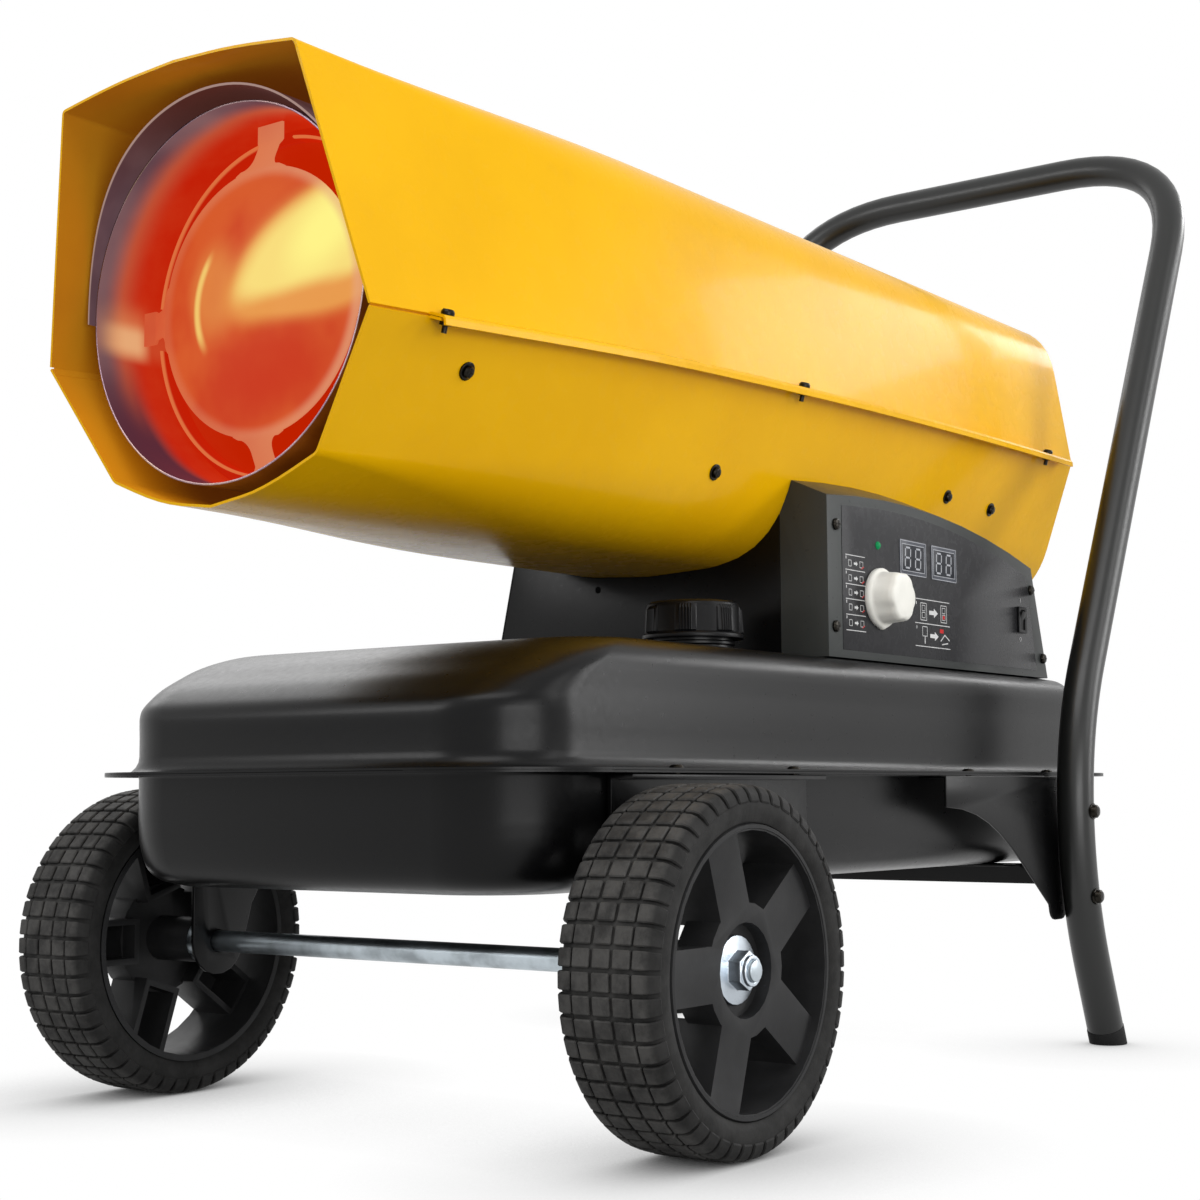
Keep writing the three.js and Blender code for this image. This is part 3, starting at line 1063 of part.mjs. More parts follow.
function rim() {
  const barrel = pipe("x", RIM_R - RIM_WALL, RIM_R, RIM_IN, RIM_OUT, axleAt, WHEEL_SEGS);
  const hub = rod("x", HUB_R, SPOKE_BACK + 12, SPOKE_FACE, axleAt, 24);
  const hubTube = rod("x", HUB_TUBE_R, HUB_IN, SPOKE_BACK + 14, axleAt, 20);
  const spokes = [];
  for (let k = 0; k < SPOKE_N; k++) {
    const angle = Math.PI + (k * 2 * Math.PI) / SPOKE_N;
    const [from, to] = [HUB_R - 6, RIM_R - RIM_WALL + 1];
    const bar = new THREE.BoxGeometry(SPOKE_DEPTH, to - from, SPOKE_W);
    bar.translate(SPOKE_FACE - SPOKE_DEPTH / 2, (from + to) / 2, 0).rotateX(angle);
    const pocket = new THREE.BoxGeometry(SPOKE_DEPTH, to - from - 8, SPOKE_W - 2 * SPOKE_WALL);
    pocket.translate(SPOKE_FACE - SPOKE_DEPTH / 2 - SPOKE_WALL, (from + to) / 2, 0).rotateX(angle);
    spokes.push(cut(moved(bar, ...axleAt), moved(pocket, ...axleAt)));
  }
  const recess = rod("x", HUB_RECESS_R, RECESS_FLOOR, SPOKE_FACE + 5, axleAt, 24);
  const bore = rod("x", BORE_R, HUB_IN - 5, SPOKE_FACE + 5, axleAt, 16);
  return cut(join(barrel, hub, hubTube, ...spokes), recess, bore);
}

const NUT_OUT = WASHER_IN + WASHER_T + NUT_H;
function axleNut() {
  const washer = rod("x", WASHER_R, WASHER_IN, WASHER_IN + WASHER_T, axleAt, 24);
  const nut = rod("x", NUT_AF / Math.sqrt(3), WASHER_IN + 1, NUT_OUT - 2.5, axleAt, 6);
  const collar = rod("x", NUT_AF / 2 - 1, WASHER_IN + 1, NUT_OUT, axleAt, 16);
  return cut(join(washer, nut, collar), rod("x", THREAD_R + GAP, 0, NUT_OUT + 5, axleAt, 14));
}

function axleSpacer() {
  return pipe("x", AXLE_R + GAP, HUB_TUBE_R, SPACER_IN, HUB_IN - GAP, axleAt, 18);
}

// Plate beside the tank, from the flange down to the axle, with a lip under the flange.
function axleBracket() {
  const top = TANK_FLANGE_Z - TANK_WALL - 2 * GAP;
  const r = BRACKET_BOSS_R;
  const boss = arcPoints(0, AXLE_Z, r, 180, 340, 8);
  const curve = new THREE.QuadraticBezierCurve(new THREE.Vector2(r + 8, AXLE_Z + 24),
    new THREE.Vector2(r + 22, AXLE_Z + 66), new THREE.Vector2(BRACKET_REAR, top - 36));
  const outline = [...boss, ...curve.getPoints(6).map((p) => [p.x, p.y]), [BRACKET_REAR, top], [-r, top]];
  const plate = sideways(outline, BRACKET_X, BRACKET_X + BRACKET_T);
  const lipPlate = block(BRACKET_X, TANK_HALF_W + TANK_FLANGE_W - 2, -r, BRACKET_REAR, top - BRACKET_T, top);
  return cut(join(plate, lipPlate), rod("x", AXLE_R + GAP, 0, 300, axleAt, 16));
}

const sides = { left: (body) => body, right: mirrored };
for (const [side, place] of Object.entries(sides)) {
  node(`${side}_tyre`, "rubber", place(tyre()));
  node(`${side}_rim`, "rim plastic", place(rim()));
  node(`${side}_axle_nut`, "zinc", place(axleNut()));
  node(`${side}_axle_spacer`, "zinc", place(axleSpacer()));
  node(`${side}_axle_bracket`, "black paint", place(axleBracket()));
}
const SHOULDER_X = RECESS_FLOOR - 0.5;
const AXLE_END = NUT_OUT + 2;
node("axle", "zinc", turned("x", [
  [0, -AXLE_END], [THREAD_R, -AXLE_END], [THREAD_R, -SHOULDER_X], [AXLE_R, -SHOULDER_X],
  [AXLE_R, SHOULDER_X], [THREAD_R, SHOULDER_X], [THREAD_R, AXLE_END], [0, AXLE_END],
], axleAt, 16));

// ---------------------------------------------------------------- handle and rear legs
const legRun = new THREE.Vector2(LEG_KNEE[0] - LEG_FOOT_Y, LEG_KNEE[1]).normalize();
const onLeg = (height) => [LEG_FOOT_Y + (legRun.x / legRun.y) * height, height];
const handleSide = [onLeg(FOOT_H), LEG_KNEE, LEG_WAIST, HANDLE_TOP];
const handleCorners = [
  ...handleSide.map(([y, z]) => [HANDLE_HALF, y, z]),
  ...handleSide.map(([y, z]) => [-HANDLE_HALF, y, z]).reverse(),
];
const handleBends = [KNEE_BEND, WAIST_BEND, TOP_BEND, TOP_BEND, WAIST_BEND, KNEE_BEND];
node("handle", "black paint", tube(handleCorners, handleBends, TUBE_R, TUBE_R - TUBE_WALL, 12, 5));

// A foot: a plug in the tube's end, cut flat on the floor.
function foot() {
  const lean = Math.atan2(legRun.x, legRun.y);
  const start = onLeg(FOOT_H);
  const parts = [rod("z", TUBE_R + 0.4, -FOOT_H * 2, -GAP, [0, 0, 0], 18),
    rod("z", TUBE_R - TUBE_WALL - GAP - 0.6, -2, 18, [0, 0, 0], 12)];
  const plug = geometryOf(join(...parts)).rotateX(-lean);
  const wide = 4 * TUBE_R;
  const floor = block(HANDLE_HALF - wide, HANDLE_HALF + wide, LEG_FOOT_Y - wide, LEG_FOOT_Y + wide,
    -wide, 0);
  return cut(moved(plug, HANDLE_HALF, ...start), floor);
}

// Gusset inside the leg: a plate with a concave lower edge and a lip under the tank's flange.
function gusset() {
  const top = TANK_FLANGE_Z - TANK_WALL - 2 * GAP;
  const x1 = HANDLE_HALF - TUBE_R - GAP;
  const tip = [LEG_KNEE[0] - 12, LEG_KNEE[1] - 7];
  const curve = new THREE.CubicBezierCurve(
    new THREE.Vector2(GUSSET_FRONT, top - 22),
    new THREE.Vector2(GUSSET_FRONT + 75, top - 24),
    new THREE.Vector2(GUSSET_FRONT + 102, top - 50),
    new THREE.Vector2(tip[0] - 10, tip[1] + 3),
  );
  const outline = [...curve.getPoints(8).map((p) => [p.x, p.y]), ...arcPoints(tip[0], tip[1], 9, 200, 270, 3),
    ...arcPoints(tip[0] + 12, tip[1], 9, 270, 340, 3), [LEG_KNEE[0] + 14, LEG_KNEE[1] + 12],
    [LEG_WAIST[0] + 12, top], [GUSSET_FRONT, top]];
  const plate = sideways(outline, x1 - GUSSET_T, x1);
  const lipPlate = block(TANK_HALF_W + 3, x1, GUSSET_FRONT, LEG_WAIST[0] + 8, top - GUSSET_T, top);
  return join(plate, lipPlate);
}
for (const [side, place] of Object.entries(sides)) {
  node(`${side}_foot`, "rubber", place(foot()));
  node(`${side}_gusset`, "black paint", place(gusset()));
}

// Cross brace under the tank between the two gussets: an angle section.
const braceHalf = HANDLE_HALF - TUBE_R - GUSSET_T - 2 * GAP;
const braceY = LEG_KNEE[0] - 10;
node("rear_brace", "black paint", join(
  block(-braceHalf, braceHalf, braceY, braceY + 2, BRACE_Z, TANK_BOTTOM - GAP),
  block(-braceHalf + 30, braceHalf - 30, braceY - 24, braceY + 1, TANK_BOTTOM - GAP - 2, TANK_BOTTOM - GAP)));

// ---------------------------------------------------------------- origin
const FRONT_END = OUTLET_Y - OUTLET_RAKE_UP;
const REAR_END = HANDLE_TOP[0] + TUBE_R;
heater.position.y = -(FRONT_END + REAR_END) / 2;

export default heater;
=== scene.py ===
# %% [markdown]
# # A forced air heater on two wheels
# This lesson dresses a finished CAD model of a workshop heater: a yellow barrel with a glowing
# combustion chamber, a black fuel tank, a control box, two wheels and a tube handle.
# The CAD model is loaded as a fixed frame. Each cell then adds a finish or replaces a plain CAD
# piece by one with more detail, in the same place.

# %% Load the frame
import json
import math

import bmesh
import bpy
import numpy as np
from mathutils import Matrix, Vector

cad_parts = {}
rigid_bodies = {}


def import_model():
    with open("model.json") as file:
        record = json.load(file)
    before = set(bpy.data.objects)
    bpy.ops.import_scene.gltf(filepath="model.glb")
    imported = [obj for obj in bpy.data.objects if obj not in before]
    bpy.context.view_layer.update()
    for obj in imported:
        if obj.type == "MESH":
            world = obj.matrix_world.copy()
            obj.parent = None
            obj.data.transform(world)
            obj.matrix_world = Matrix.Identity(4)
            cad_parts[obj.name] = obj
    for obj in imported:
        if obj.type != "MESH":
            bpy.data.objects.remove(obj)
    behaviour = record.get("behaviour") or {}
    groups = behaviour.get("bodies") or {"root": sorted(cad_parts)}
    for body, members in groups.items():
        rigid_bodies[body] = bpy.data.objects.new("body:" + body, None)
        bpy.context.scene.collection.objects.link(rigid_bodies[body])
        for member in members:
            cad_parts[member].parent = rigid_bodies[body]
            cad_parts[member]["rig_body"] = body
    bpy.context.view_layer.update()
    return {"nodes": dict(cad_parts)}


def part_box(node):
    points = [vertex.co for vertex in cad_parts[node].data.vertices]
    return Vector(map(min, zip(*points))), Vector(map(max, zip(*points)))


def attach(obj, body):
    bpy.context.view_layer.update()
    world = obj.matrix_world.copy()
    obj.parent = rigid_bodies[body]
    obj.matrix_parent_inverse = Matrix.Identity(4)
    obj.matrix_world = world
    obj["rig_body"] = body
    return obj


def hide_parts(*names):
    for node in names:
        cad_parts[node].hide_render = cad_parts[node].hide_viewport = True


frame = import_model()
nodes = frame["nodes"]

# %% [markdown]
# All sizes below are in millimetres, as on a drawing. Their zero along the heater is the line of the
# axle, so one helper turns such a point into Blender's metres. The axle's own box gives its place,
# which keeps this file right when the CAD model's origin moves.

# %% Points in millimetres
MM = 0.001
axle_low, axle_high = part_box("axle")
AXLE_Y = (axle_low.y + axle_high.y) / 2
TYRE_R = AXLE_Z = 101.6


def spot(x, y, z):
    """A point given in millimetres from the axle's line, in metres in the heater's frame."""
    return Vector((x * MM, y * MM + AXLE_Y, z * MM))


print("the axle lies at y =", round(AXLE_Y, 4))

# %% [markdown]
# ## Camera
# The picture is taken from low down in front, slightly upwards. A camera looks along its own -Z axis,
# so its matrix is built from three directions: right, up and back.

# %% Camera
YAW, PITCH, ROLL = math.radians(36.49), math.radians(5.5), math.radians(-0.32)
LENS_MM, SENSOR_MM, CAMERA_AT = 60.12, 36, (839.8, -934.5, 198.2)
forward = Vector((-math.sin(YAW) * math.cos(PITCH), math.cos(YAW) * math.cos(PITCH), math.sin(PITCH)))
level = Vector((math.cos(YAW), math.sin(YAW), 0))
upright = level.cross(forward)
right = level * math.cos(ROLL) + upright * math.sin(ROLL)
up = upright * math.cos(ROLL) - level * math.sin(ROLL)

lens = bpy.data.cameras.new("camera")
lens.lens = LENS_MM
lens.sensor_width = SENSOR_MM
lens.clip_start = 0.01
camera = bpy.data.objects.new("camera", lens)
turn = Matrix((right, up, -forward)).transposed().to_4x4()
camera.matrix_world = Matrix.Translation(spot(*CAMERA_AT)) @ turn
bpy.context.scene.collection.objects.link(camera)
bpy.context.scene.camera = camera
print("camera at", [round(v, 3) for v in camera.location])

# %% [markdown]
# ## Finishes
# A material is a small graph of nodes. Writing each link by hand hides what the graph does, so a
# socket is wrapped in a class that understands +, -, *, / and powers: an expression on masks then adds
# its own Math nodes. Every other node comes from one method.

# %% A socket that can be calculated with
class Wire:
    def __init__(self, graph, socket):
        self.graph = graph
        self.socket = socket

    def _math(self, operation, *values):
        return self.graph.node("ShaderNodeMath", {"operation": operation}, dict(enumerate(values)))

    def __add__(self, other):
        return self._math("ADD", self, other)

    def __sub__(self, other):
        return self._math("SUBTRACT", self, other)

    def __rsub__(self, other):
        return self._math("SUBTRACT", other, self)

    def __mul__(self, other):
        return self._math("MULTIPLY", self, other)

    def __truediv__(self, other):
        return self._math("DIVIDE", self, other)

    def __pow__(self, power):
        return self._math("POWER", self, power)

    __radd__ = __add__
    __rmul__ = __mul__

    def step(self, low, high):
        """0 below low, 1 above high, with a smooth change between them."""
        settings = {"interpolation_type": "SMOOTHSTEP"}
        return self.graph.node("ShaderNodeMapRange", settings, {"Value": self, "From Min": low,
                                                                "From Max": high})

    def root(self):
        return self._math("SQRT", self)

    def larger(self, other):
        return self._math("MAXIMUM", self, other)


print("wires understand +, -, *, / and powers, and step, root and larger")

# %% [markdown]
# `Graph` adds nodes to a tree. `Finish` is the graph of one material: what is the same all over is set
# on the shader, and only what varies is driven by wires.

# %% Graphs and materials
class Graph:
    """A node tree, and one method that adds any node to it."""

    def __init__(self, tree):
        self.tree = tree

    def add(self, kind, settings=None, sockets=None):
        made = self.tree.nodes.new(kind)
        for key, value in (settings or {}).items():
            setattr(made, key, value)
        for key, value in (sockets or {}).items():
            if isinstance(value, Wire):
                self.tree.links.new(value.socket, made.inputs[key])
            else:
                made.inputs[key].default_value = value
        return made

    def node(self, kind, settings=None, sockets=None, out=0):
        return Wire(self, self.add(kind, settings, sockets).outputs[out])


class Finish(Graph):
    """A material with a Principled shader."""

    def __init__(self, name, **constant):
        self.material = bpy.data.materials.new(name)
        self.material.use_nodes = True
        super().__init__(self.material.node_tree)
        self.tree.nodes.clear()
        self.shader = self.add("ShaderNodeBsdfPrincipled")
        self.output = self.add("ShaderNodeOutputMaterial")
        self.tree.links.new(self.shader.outputs[0], self.output.inputs[0])
        self.place = self.node("ShaderNodeTexCoord", out="Object")
        for key, value in constant.items():
            self.shader.inputs[key.replace("_", " ")].default_value = value

    def place_mm(self):
        """x, y and z of the place, in millimetres from the axle's line as in spot()."""
        made = self.add("ShaderNodeSeparateXYZ", None, {0: self.place})
        x, y, z = [Wire(self, socket) for socket in made.outputs]
        return x * (1 / MM), (y - AXLE_Y) * (1 / MM), z * (1 / MM)

    def noise(self, scale, detail=2.0, rough=0.5, stretch=None):
        place = self.place
        if stretch:
            place = self.node("ShaderNodeMapping", None, {"Vector": place, "Scale": stretch})
        return self.node("ShaderNodeTexNoise", None,
                         {"Vector": place, "Scale": scale, "Detail": detail, "Roughness": rough})

    def mix(self, share, a, b):
        made = self.add("ShaderNodeMix", {"data_type": "RGBA"}, {"Factor": share})
        for index, value in ((6, a), (7, b)):
            if isinstance(value, Wire):
                self.tree.links.new(value.socket, made.inputs[index])
            else:
                made.inputs[index].default_value = (*value, 1)
        return Wire(self, made.outputs[2])

    def drive(self, **wires):
        for key, wire in wires.items():
            self.tree.links.new(wire.socket, self.shader.inputs[key.replace("_", " ")])
        return self

    def bump(self, height, strength, depth_mm):
        return self.drive(Normal=self.node("ShaderNodeBump", None, {
            "Height": height, "Strength": strength, "Distance": depth_mm * MM}))


print("graphs and finishes are ready")

# %% [markdown]
# ### Paint
# The barrel is gloss enamel over steel: an even yellow with a faint drift in colour and the fine
# orange peel that every sprayed surface has. Its inside is duller, and its darker brown colour is
# painted shade; near the flame it also takes painted light. The tank, the box and the handle are satin
# black powder coat, whose surface is a little grainy.

# %% Paint finishes
def scaled(tone, share):
    return tuple(v * share for v in tone)


def sprayed(name, light, dark, rough, coat):
    finish = Finish(name, Coat_Weight=coat, Coat_Roughness=0.05, Specular_IOR_Level=0.05)
    finish.drive(Base_Color=finish.mix(finish.noise(9, 3).step(0.3, 0.7), light, dark),
                 Roughness=finish.noise(60, 3) * 0.1 + rough)
    return finish.bump(finish.noise(620, 1), 0.12, 0.12)


def powder_coat(name, tone, rough, specular=0.12):
    finish = Finish(name, Specular_IOR_Level=specular)
    cloud = finish.noise(7, 3).step(0.3, 0.7)
    finish.drive(Base_Color=finish.mix(cloud, tone, scaled(tone, 1.35)),
                 Roughness=finish.noise(240, 2) * 0.12 + rough)
    return finish.bump(finish.noise(1300, 2), 0.25, 0.1)


yellow = sprayed("yellow_enamel", (0.88, 0.475, 0.0015), (0.83, 0.435, 0.001), 0.22, 0.08)
satin_black = powder_coat("black_powder_coat", (0.0022, 0.0022, 0.0024), 0.24, 0.17)
tube_black = powder_coat("handle_powder_coat", (0.008, 0.0085, 0.008), 0.27, 0.45)
panel_black = powder_coat("panel_powder_coat", (0.036, 0.039, 0.038), 0.24)
print("paints:", len(bpy.data.materials))

# %% [markdown]
# ### Rubber and plastic
# The rims, the fuel cap and the switch are moulded plastic with a fine spark-eroded grain. A used tyre
# carries dust where it meets the floor, so its colour follows the distance from the axle.

# %% Rubber and plastic finishes
def moulded(name, tone, rough, spread=0.3, grain=0.3, specular=0.12):
    finish = Finish(name, Specular_IOR_Level=specular)
    mottle = finish.noise(38, 5, 0.65).step(0.35, 0.65)
    finish.drive(Base_Color=finish.mix(mottle, tone, scaled(tone, 1 + spread)),
                 Roughness=finish.noise(90, 3) * 0.16 + rough)
    return finish.bump(finish.noise(900, 3), grain, 0.12)


soft_rubber = moulded("soft_rubber", (0.014, 0.014, 0.014), 0.6)
rim_plastic = moulded("rim_plastic", (0.016, 0.016, 0.0165), 0.34, 0.35)
black_plastic = moulded("black_plastic", (0.004, 0.004, 0.0045), 0.26, specular=0.16)
ivory_plastic = moulded("ivory_plastic", (0.84, 0.83, 0.77), 0.3, 0.06, 0.08)
hose_rubber = moulded("hose_rubber", (0.012, 0.012, 0.014), 0.45)
white_ceramic = moulded("ceramic", (0.75, 0.72, 0.65), 0.18, 0.05, 0.04)
board_green = moulded("board_green", (0.01, 0.09, 0.035), 0.3, 0.5)


def dusty_rubber():
    """Dust on the tops of the tread blocks, and clean dark grooves and side walls."""
    finish = Finish("tyre_rubber", Specular_IOR_Level=0.12)
    _, y, z = finish.place_mm()
    z = z - AXLE_Z
    radius = (y * y + z * z).root()
    worn = finish.noise(55, 5, 0.7).step(0.32, 0.68)
    dust = finish.mix(worn, (0.026, 0.0255, 0.025), (0.075, 0.073, 0.07))
    wall = finish.mix(worn, (0.013, 0.0128, 0.0125), (0.026, 0.0255, 0.025))
    finish.drive(Base_Color=finish.mix(radius.step(TYRE_R - 3.4, TYRE_R - 0.4), wall, dust),
                 Roughness=finish.noise(120, 3) * 0.2 + 0.55)
    return finish.bump(finish.noise(260, 5, 0.7), 0.8, 0.35)


tyre_rubber = dusty_rubber()
print("finishes so far:", len(bpy.data.materials))

# %% [markdown]
# ### Metals
# Zinc plating is bluish and cloudy, with fine turning marks. Aluminium castings are greyer. Steel that
# has been hot shows temper colours, from straw to purple, in cloudy bands.

# %% Metal finishes
def metal(name, tone, rough, stretch=None, cloud=0.25):
    finish = Finish(name, Metallic=1.0)
    marks = finish.noise(220, 4, 0.6, stretch)
    dull = scaled(tone, 1 - cloud)
    finish.drive(Base_Color=finish.mix(finish.noise(45, 4).step(0.35, 0.65), tone, dull),
                 Roughness=marks * 0.22 + rough)
    return finish.bump(marks, 0.12, 0.06)


zinc = metal("zinc_plate", (0.6, 0.66, 0.72), 0.2, (1, 1, 12))
zinc_rod = metal("zinc_rod", (0.5, 0.56, 0.6), 0.24, (0.4, 9, 9), 0.45)
aluminium = metal("cast_aluminium", (0.58, 0.59, 0.6), 0.32)
brass = metal("brass", (0.6, 0.4, 0.13), 0.22)
black_steel = metal("black_oxide_steel", (0.02, 0.018, 0.015), 0.16)


def heated_steel():
    finish = Finish("heat_tinted_steel", Metallic=1.0)
    along = finish.place_mm()[1]
    streaks = finish.noise(26, 5, 0.6, (1, 0.3, 1))
    bands = finish.noise(16, 3, 0.5, (0.6, 2.2, 0.6))
    purple = finish.mix(streaks.step(0.3, 0.7), (0.2, 0.13, 0.18), (0.34, 0.24, 0.26))
    straw = finish.mix(bands.step(0.42, 0.75), purple, (0.36, 0.24, 0.13))
    deep = along.step(-130, -50)
    finish.drive(Base_Color=finish.mix(deep, straw, (0.16, 0.07, 0.06)), Roughness=streaks * 0.25 + 0.25)
    return finish.bump(finish.noise(300, 3), 0.1, 0.08)


tempered = heated_steel()
print("finishes so far:", len(bpy.data.materials))

# %% [markdown]
# ### Glowing steel
# The disc, the ring and the walls of the chamber glow. Their emission colour is painted from masks in
# the plane of the disc: a yellow-white hot spot where the flame strikes it, a bright crescent on its
# dome and a lighter rim, both painted highlights, and red elsewhere. The heater's axis is at CORE_Z,
# so the masks are measured from there.

# %% Glow of the disc
CORE_Z, DISC_R, SHIELD_R, SHIELD_FRONT, SHIELD_SWEEP = 484, 80, 116.5, -175, 14
GLOW_DEEP, GLOW_RED, GLOW_ORANGE = (0.52, 0.012, 0.001), (0.58, 0.045, 0.01), (0.66, 0.1, 0.02)
GLOW_AMBER, GLOW_YELLOW, GLOW_HOT = (0.79, 0.32, 0.07), (0.92, 0.71, 0.19), (0.98, 0.89, 0.24)


def emitting(name):
    return Finish(name, Metallic=0.0, Roughness=0.4, Emission_Strength=1.0, Specular_IOR_Level=0.04,
                  Base_Color=(0.02, 0.006, 0.005, 1))


def disc_units(finish):
    """Across and up from the heater's axis, in units of the disc's radius."""
    x, _, z = finish.place_mm()
    return x * (1 / DISC_R), (z - CORE_Z) * (1 / DISC_R)


def distance(u, v, u0, v0, stretch=(1, 1), turn=0.0):
    """How far u, v are from u0, v0, on an ellipse turned by turn."""
    a, b = u - u0, v - v0
    c, s = math.cos(turn), math.sin(turn)
    along, across = (a * c + b * s) * (1 / stretch[0]), (b * c - a * s) * (1 / stretch[1])
    return (along * along + across * across).root()


def disc_glow_and_painted_light():
    """The flame strikes the disc's right side: a hot field that ends along its lower side."""
    finish = emitting("glowing_disc")
    u, v = disc_units(finish)
    rough_v = v + (finish.noise(11, 2) - 0.5) * 0.2
    base = finish.mix(finish.noise(15, 3, 0.5).step(0.36, 0.66), GLOW_RED, GLOW_ORANGE)
    cooler = 1 - distance(u, v, 0.18, -0.52, (0.5, 0.3)).step(0.4, 1.3)
    base = finish.mix(cooler * 0.8, base, (0.57, 0.035, 0.008))
    field = 1 - distance(u, v, 0.66, 0.24, (0.96, 0.54), 0.45).step(0.45, 1.3)
    amber = finish.mix((field * rough_v.step(-0.34, 0.0)).step(0.02, 0.6), base, GLOW_AMBER)
    yellow_share = (field * (rough_v - u * 0.15).step(-0.24, 0.14)).step(0.2, 0.85)
    core = 1 - distance(u, v, 0.68, 0.42, (0.5, 0.32), 0.8).step(0.2, 1.1)
    hot = finish.mix(core, finish.mix(yellow_share, amber, GLOW_YELLOW), GLOW_HOT)
    halo = (1 - distance(u, v, -0.38, 0.12, (0.34, 0.42)).step(0.35, 1.15)) * 0.55
    haloed = finish.mix(halo * (1 - field.step(0.3, 0.8)), hot, GLOW_AMBER)
    from_middle = distance(u, v, 0, 0)
    # A painted highlight: a bright crescent on the dome's left side.
    arc = from_middle.step(0.52, 0.58) * (1 - from_middle.step(0.59, 0.64)) * (1 - u.step(-0.5, -0.36))
    crescent = arc * (1 - distance(u, v, -0.56, 0.08, (0.3, 0.42)).step(0.55, 1.1))
    painted = finish.mix(crescent * 0.9, haloed, (0.88, 0.6, 0.16))
    # A painted highlight along the rim, strongest on the right.
    edge = from_middle.step(0.9, 0.99) * (u.step(-1.2, 1.1) * 0.5 + 0.12)
    return finish.drive(Emission_Color=finish.mix(edge, painted, (0.76, 0.36, 0.19)))


disc_glow_finish = disc_glow_and_painted_light()
print(len(disc_glow_finish.tree.nodes), "nodes paint the disc")

# %% [markdown]
# The wall and the ring take the same glow, weaker with the distance from the ring, which is at
# y = -118; the wall's cooler front steel gets painted light. The shield and the barrel's inner paint
# get painted light and painted shade in their emission, and the inner paint's fades with that distance.

# %% Glow of the walls
def wall_glow_and_painted_light():
    """The chamber's wall: red at the ring, then pink and purple in painted light towards its front edge."""
    finish = emitting("glowing_wall")
    x, y, _ = finish.place_mm()
    v = disc_units(finish)[1]
    near = (y + (finish.noise(10, 3) - 0.5) * 12).step(-164, -118)
    low = 1 - v.step(-1.0, -0.12)
    # Painted light: the cooler steel towards the front edge shows by its emission, darker towards the
    # bottom.
    steel = finish.mix(finish.noise(13, 3, 0.5).step(0.3, 0.7), (0.1, 0.05, 0.065), (0.2, 0.105, 0.11))
    steel = finish.mix(low * 0.8, steel, (0.07, 0.022, 0.04))
    warm = finish.mix(near.step(0.05, 0.55), steel, (0.5, 0.085, 0.036))
    patch = finish.mix(finish.noise(26, 4, 0.6).step(0.25, 0.8) * 0.45, GLOW_DEEP, GLOW_RED)
    red = finish.mix(near.step(0.35, 0.95), warm, patch)
    # Darker towards the bottom, away from the ring.
    dim = finish.mix(low * (1 - near.step(0.55, 1.0)), red, (0.07, 0.02, 0.035))
    # A painted highlight: a bright streak along the left wall, at the height of the axis.
    across = v.step(-0.3, -0.14) * (1 - v.step(-0.1, 0.24))
    along = y.step(-162, -136) * (1 - y.step(-130, -117))
    streak = (1 - x.step(-107, -100)) * across
    lit = finish.mix(streak * (along * 0.6 + 0.15), dim, (0.74, 0.27, 0.1))
    lit = finish.mix(streak * along * (1 - (v + 0.1).step(0.04, 0.16)) * 0.6, lit, (0.82, 0.5, 0.24))
    return finish.drive(Emission_Color=finish.mix(y.step(-115, -50), lit, (0.5, 0.014, 0.0)))


def ring_glow():
    finish = emitting("glowing_ring")
    lip = 1 - finish.place_mm()[1].step(-117.8, -115.5)
    return finish.drive(Emission_Color=finish.mix(lip, GLOW_DEEP, (0.7, 0.16, 0.05)))


def shield_painted_light():
    """Painted light: purple at the shield's sides, painted shade under its crown, a painted highlight in
    front.
    """
    finish = emitting("heat_tinted_shield")
    x, y, z = finish.place_mm()
    # Painted light in the emission; the purple is the steel's temper colour.
    side = finish.mix(finish.noise(18, 3).step(0.35, 0.65), (0.085, 0.045, 0.055), (0.14, 0.08, 0.09))
    # Painted shade under the crown.
    inner = finish.mix((z - CORE_Z).step(60, 125), side, (0.05, 0.013, 0.008))
    # A painted highlight along the cut edge in front.
    behind_edge = y - (x * (1 / SHIELD_R)) ** 4 * SHIELD_SWEEP - SHIELD_FRONT
    edge = 1 - behind_edge.step(0.2, 0.9)
    return finish.drive(Emission_Color=finish.mix(edge, inner, (0.36, 0.24, 0.21)))


def lit_inside():
    """The barrel's inner paint: painted shade in its brown, painted light from the flame near the outlet.
    """
    # A darker brown than the outside: painted shade inside the barrel.
    finish = sprayed("yellow_enamel_inside", (0.5, 0.24, 0.01), (0.4, 0.17, 0.008), 0.42, 0.05)
    _, y, z = finish.place_mm()
    # Painted light from the flame: strongest near the outlet, and there brightest low down.
    edge = finish.mix(1 - z.step(380, 500), (0.07, 0.02, 0.001), (0.38, 0.125, 0.002))
    finish.shader.inputs["Emission Strength"].default_value = 1.0
    return finish.drive(Emission_Color=finish.mix(y.step(-190, -90), edge, (0.06, 0.014, 0.001)))


wall_glow_finish, ring_glow_finish, shield_finish = wall_glow_and_painted_light(), ring_glow(), shield_painted_light()
yellow_inside = lit_inside()
print("finishes so far:", len(bpy.data.materials))

# %% [markdown]
# ### The control panel's finishes
# The panel carries a dark grey film with white marks, two display windows of clear plastic over unlit
# segments, and a green lamp.

# %% Panel finishes
def plain(name, tone, rough, emission=None):
    finish = Finish(name, Specular_IOR_Level=0.08)
    grain = finish.noise(150, 3)
    finish.drive(Base_Color=finish.mix(grain.step(0.35, 0.65), tone, scaled(tone, 1.12)),
                 Roughness=grain * 0.1 + rough)
    if emission:
        finish.shader.inputs["Emission Color"].default_value = (*emission, 1)
        finish.shader.inputs["Emission Strength"].default_value = 0.6
    return finish


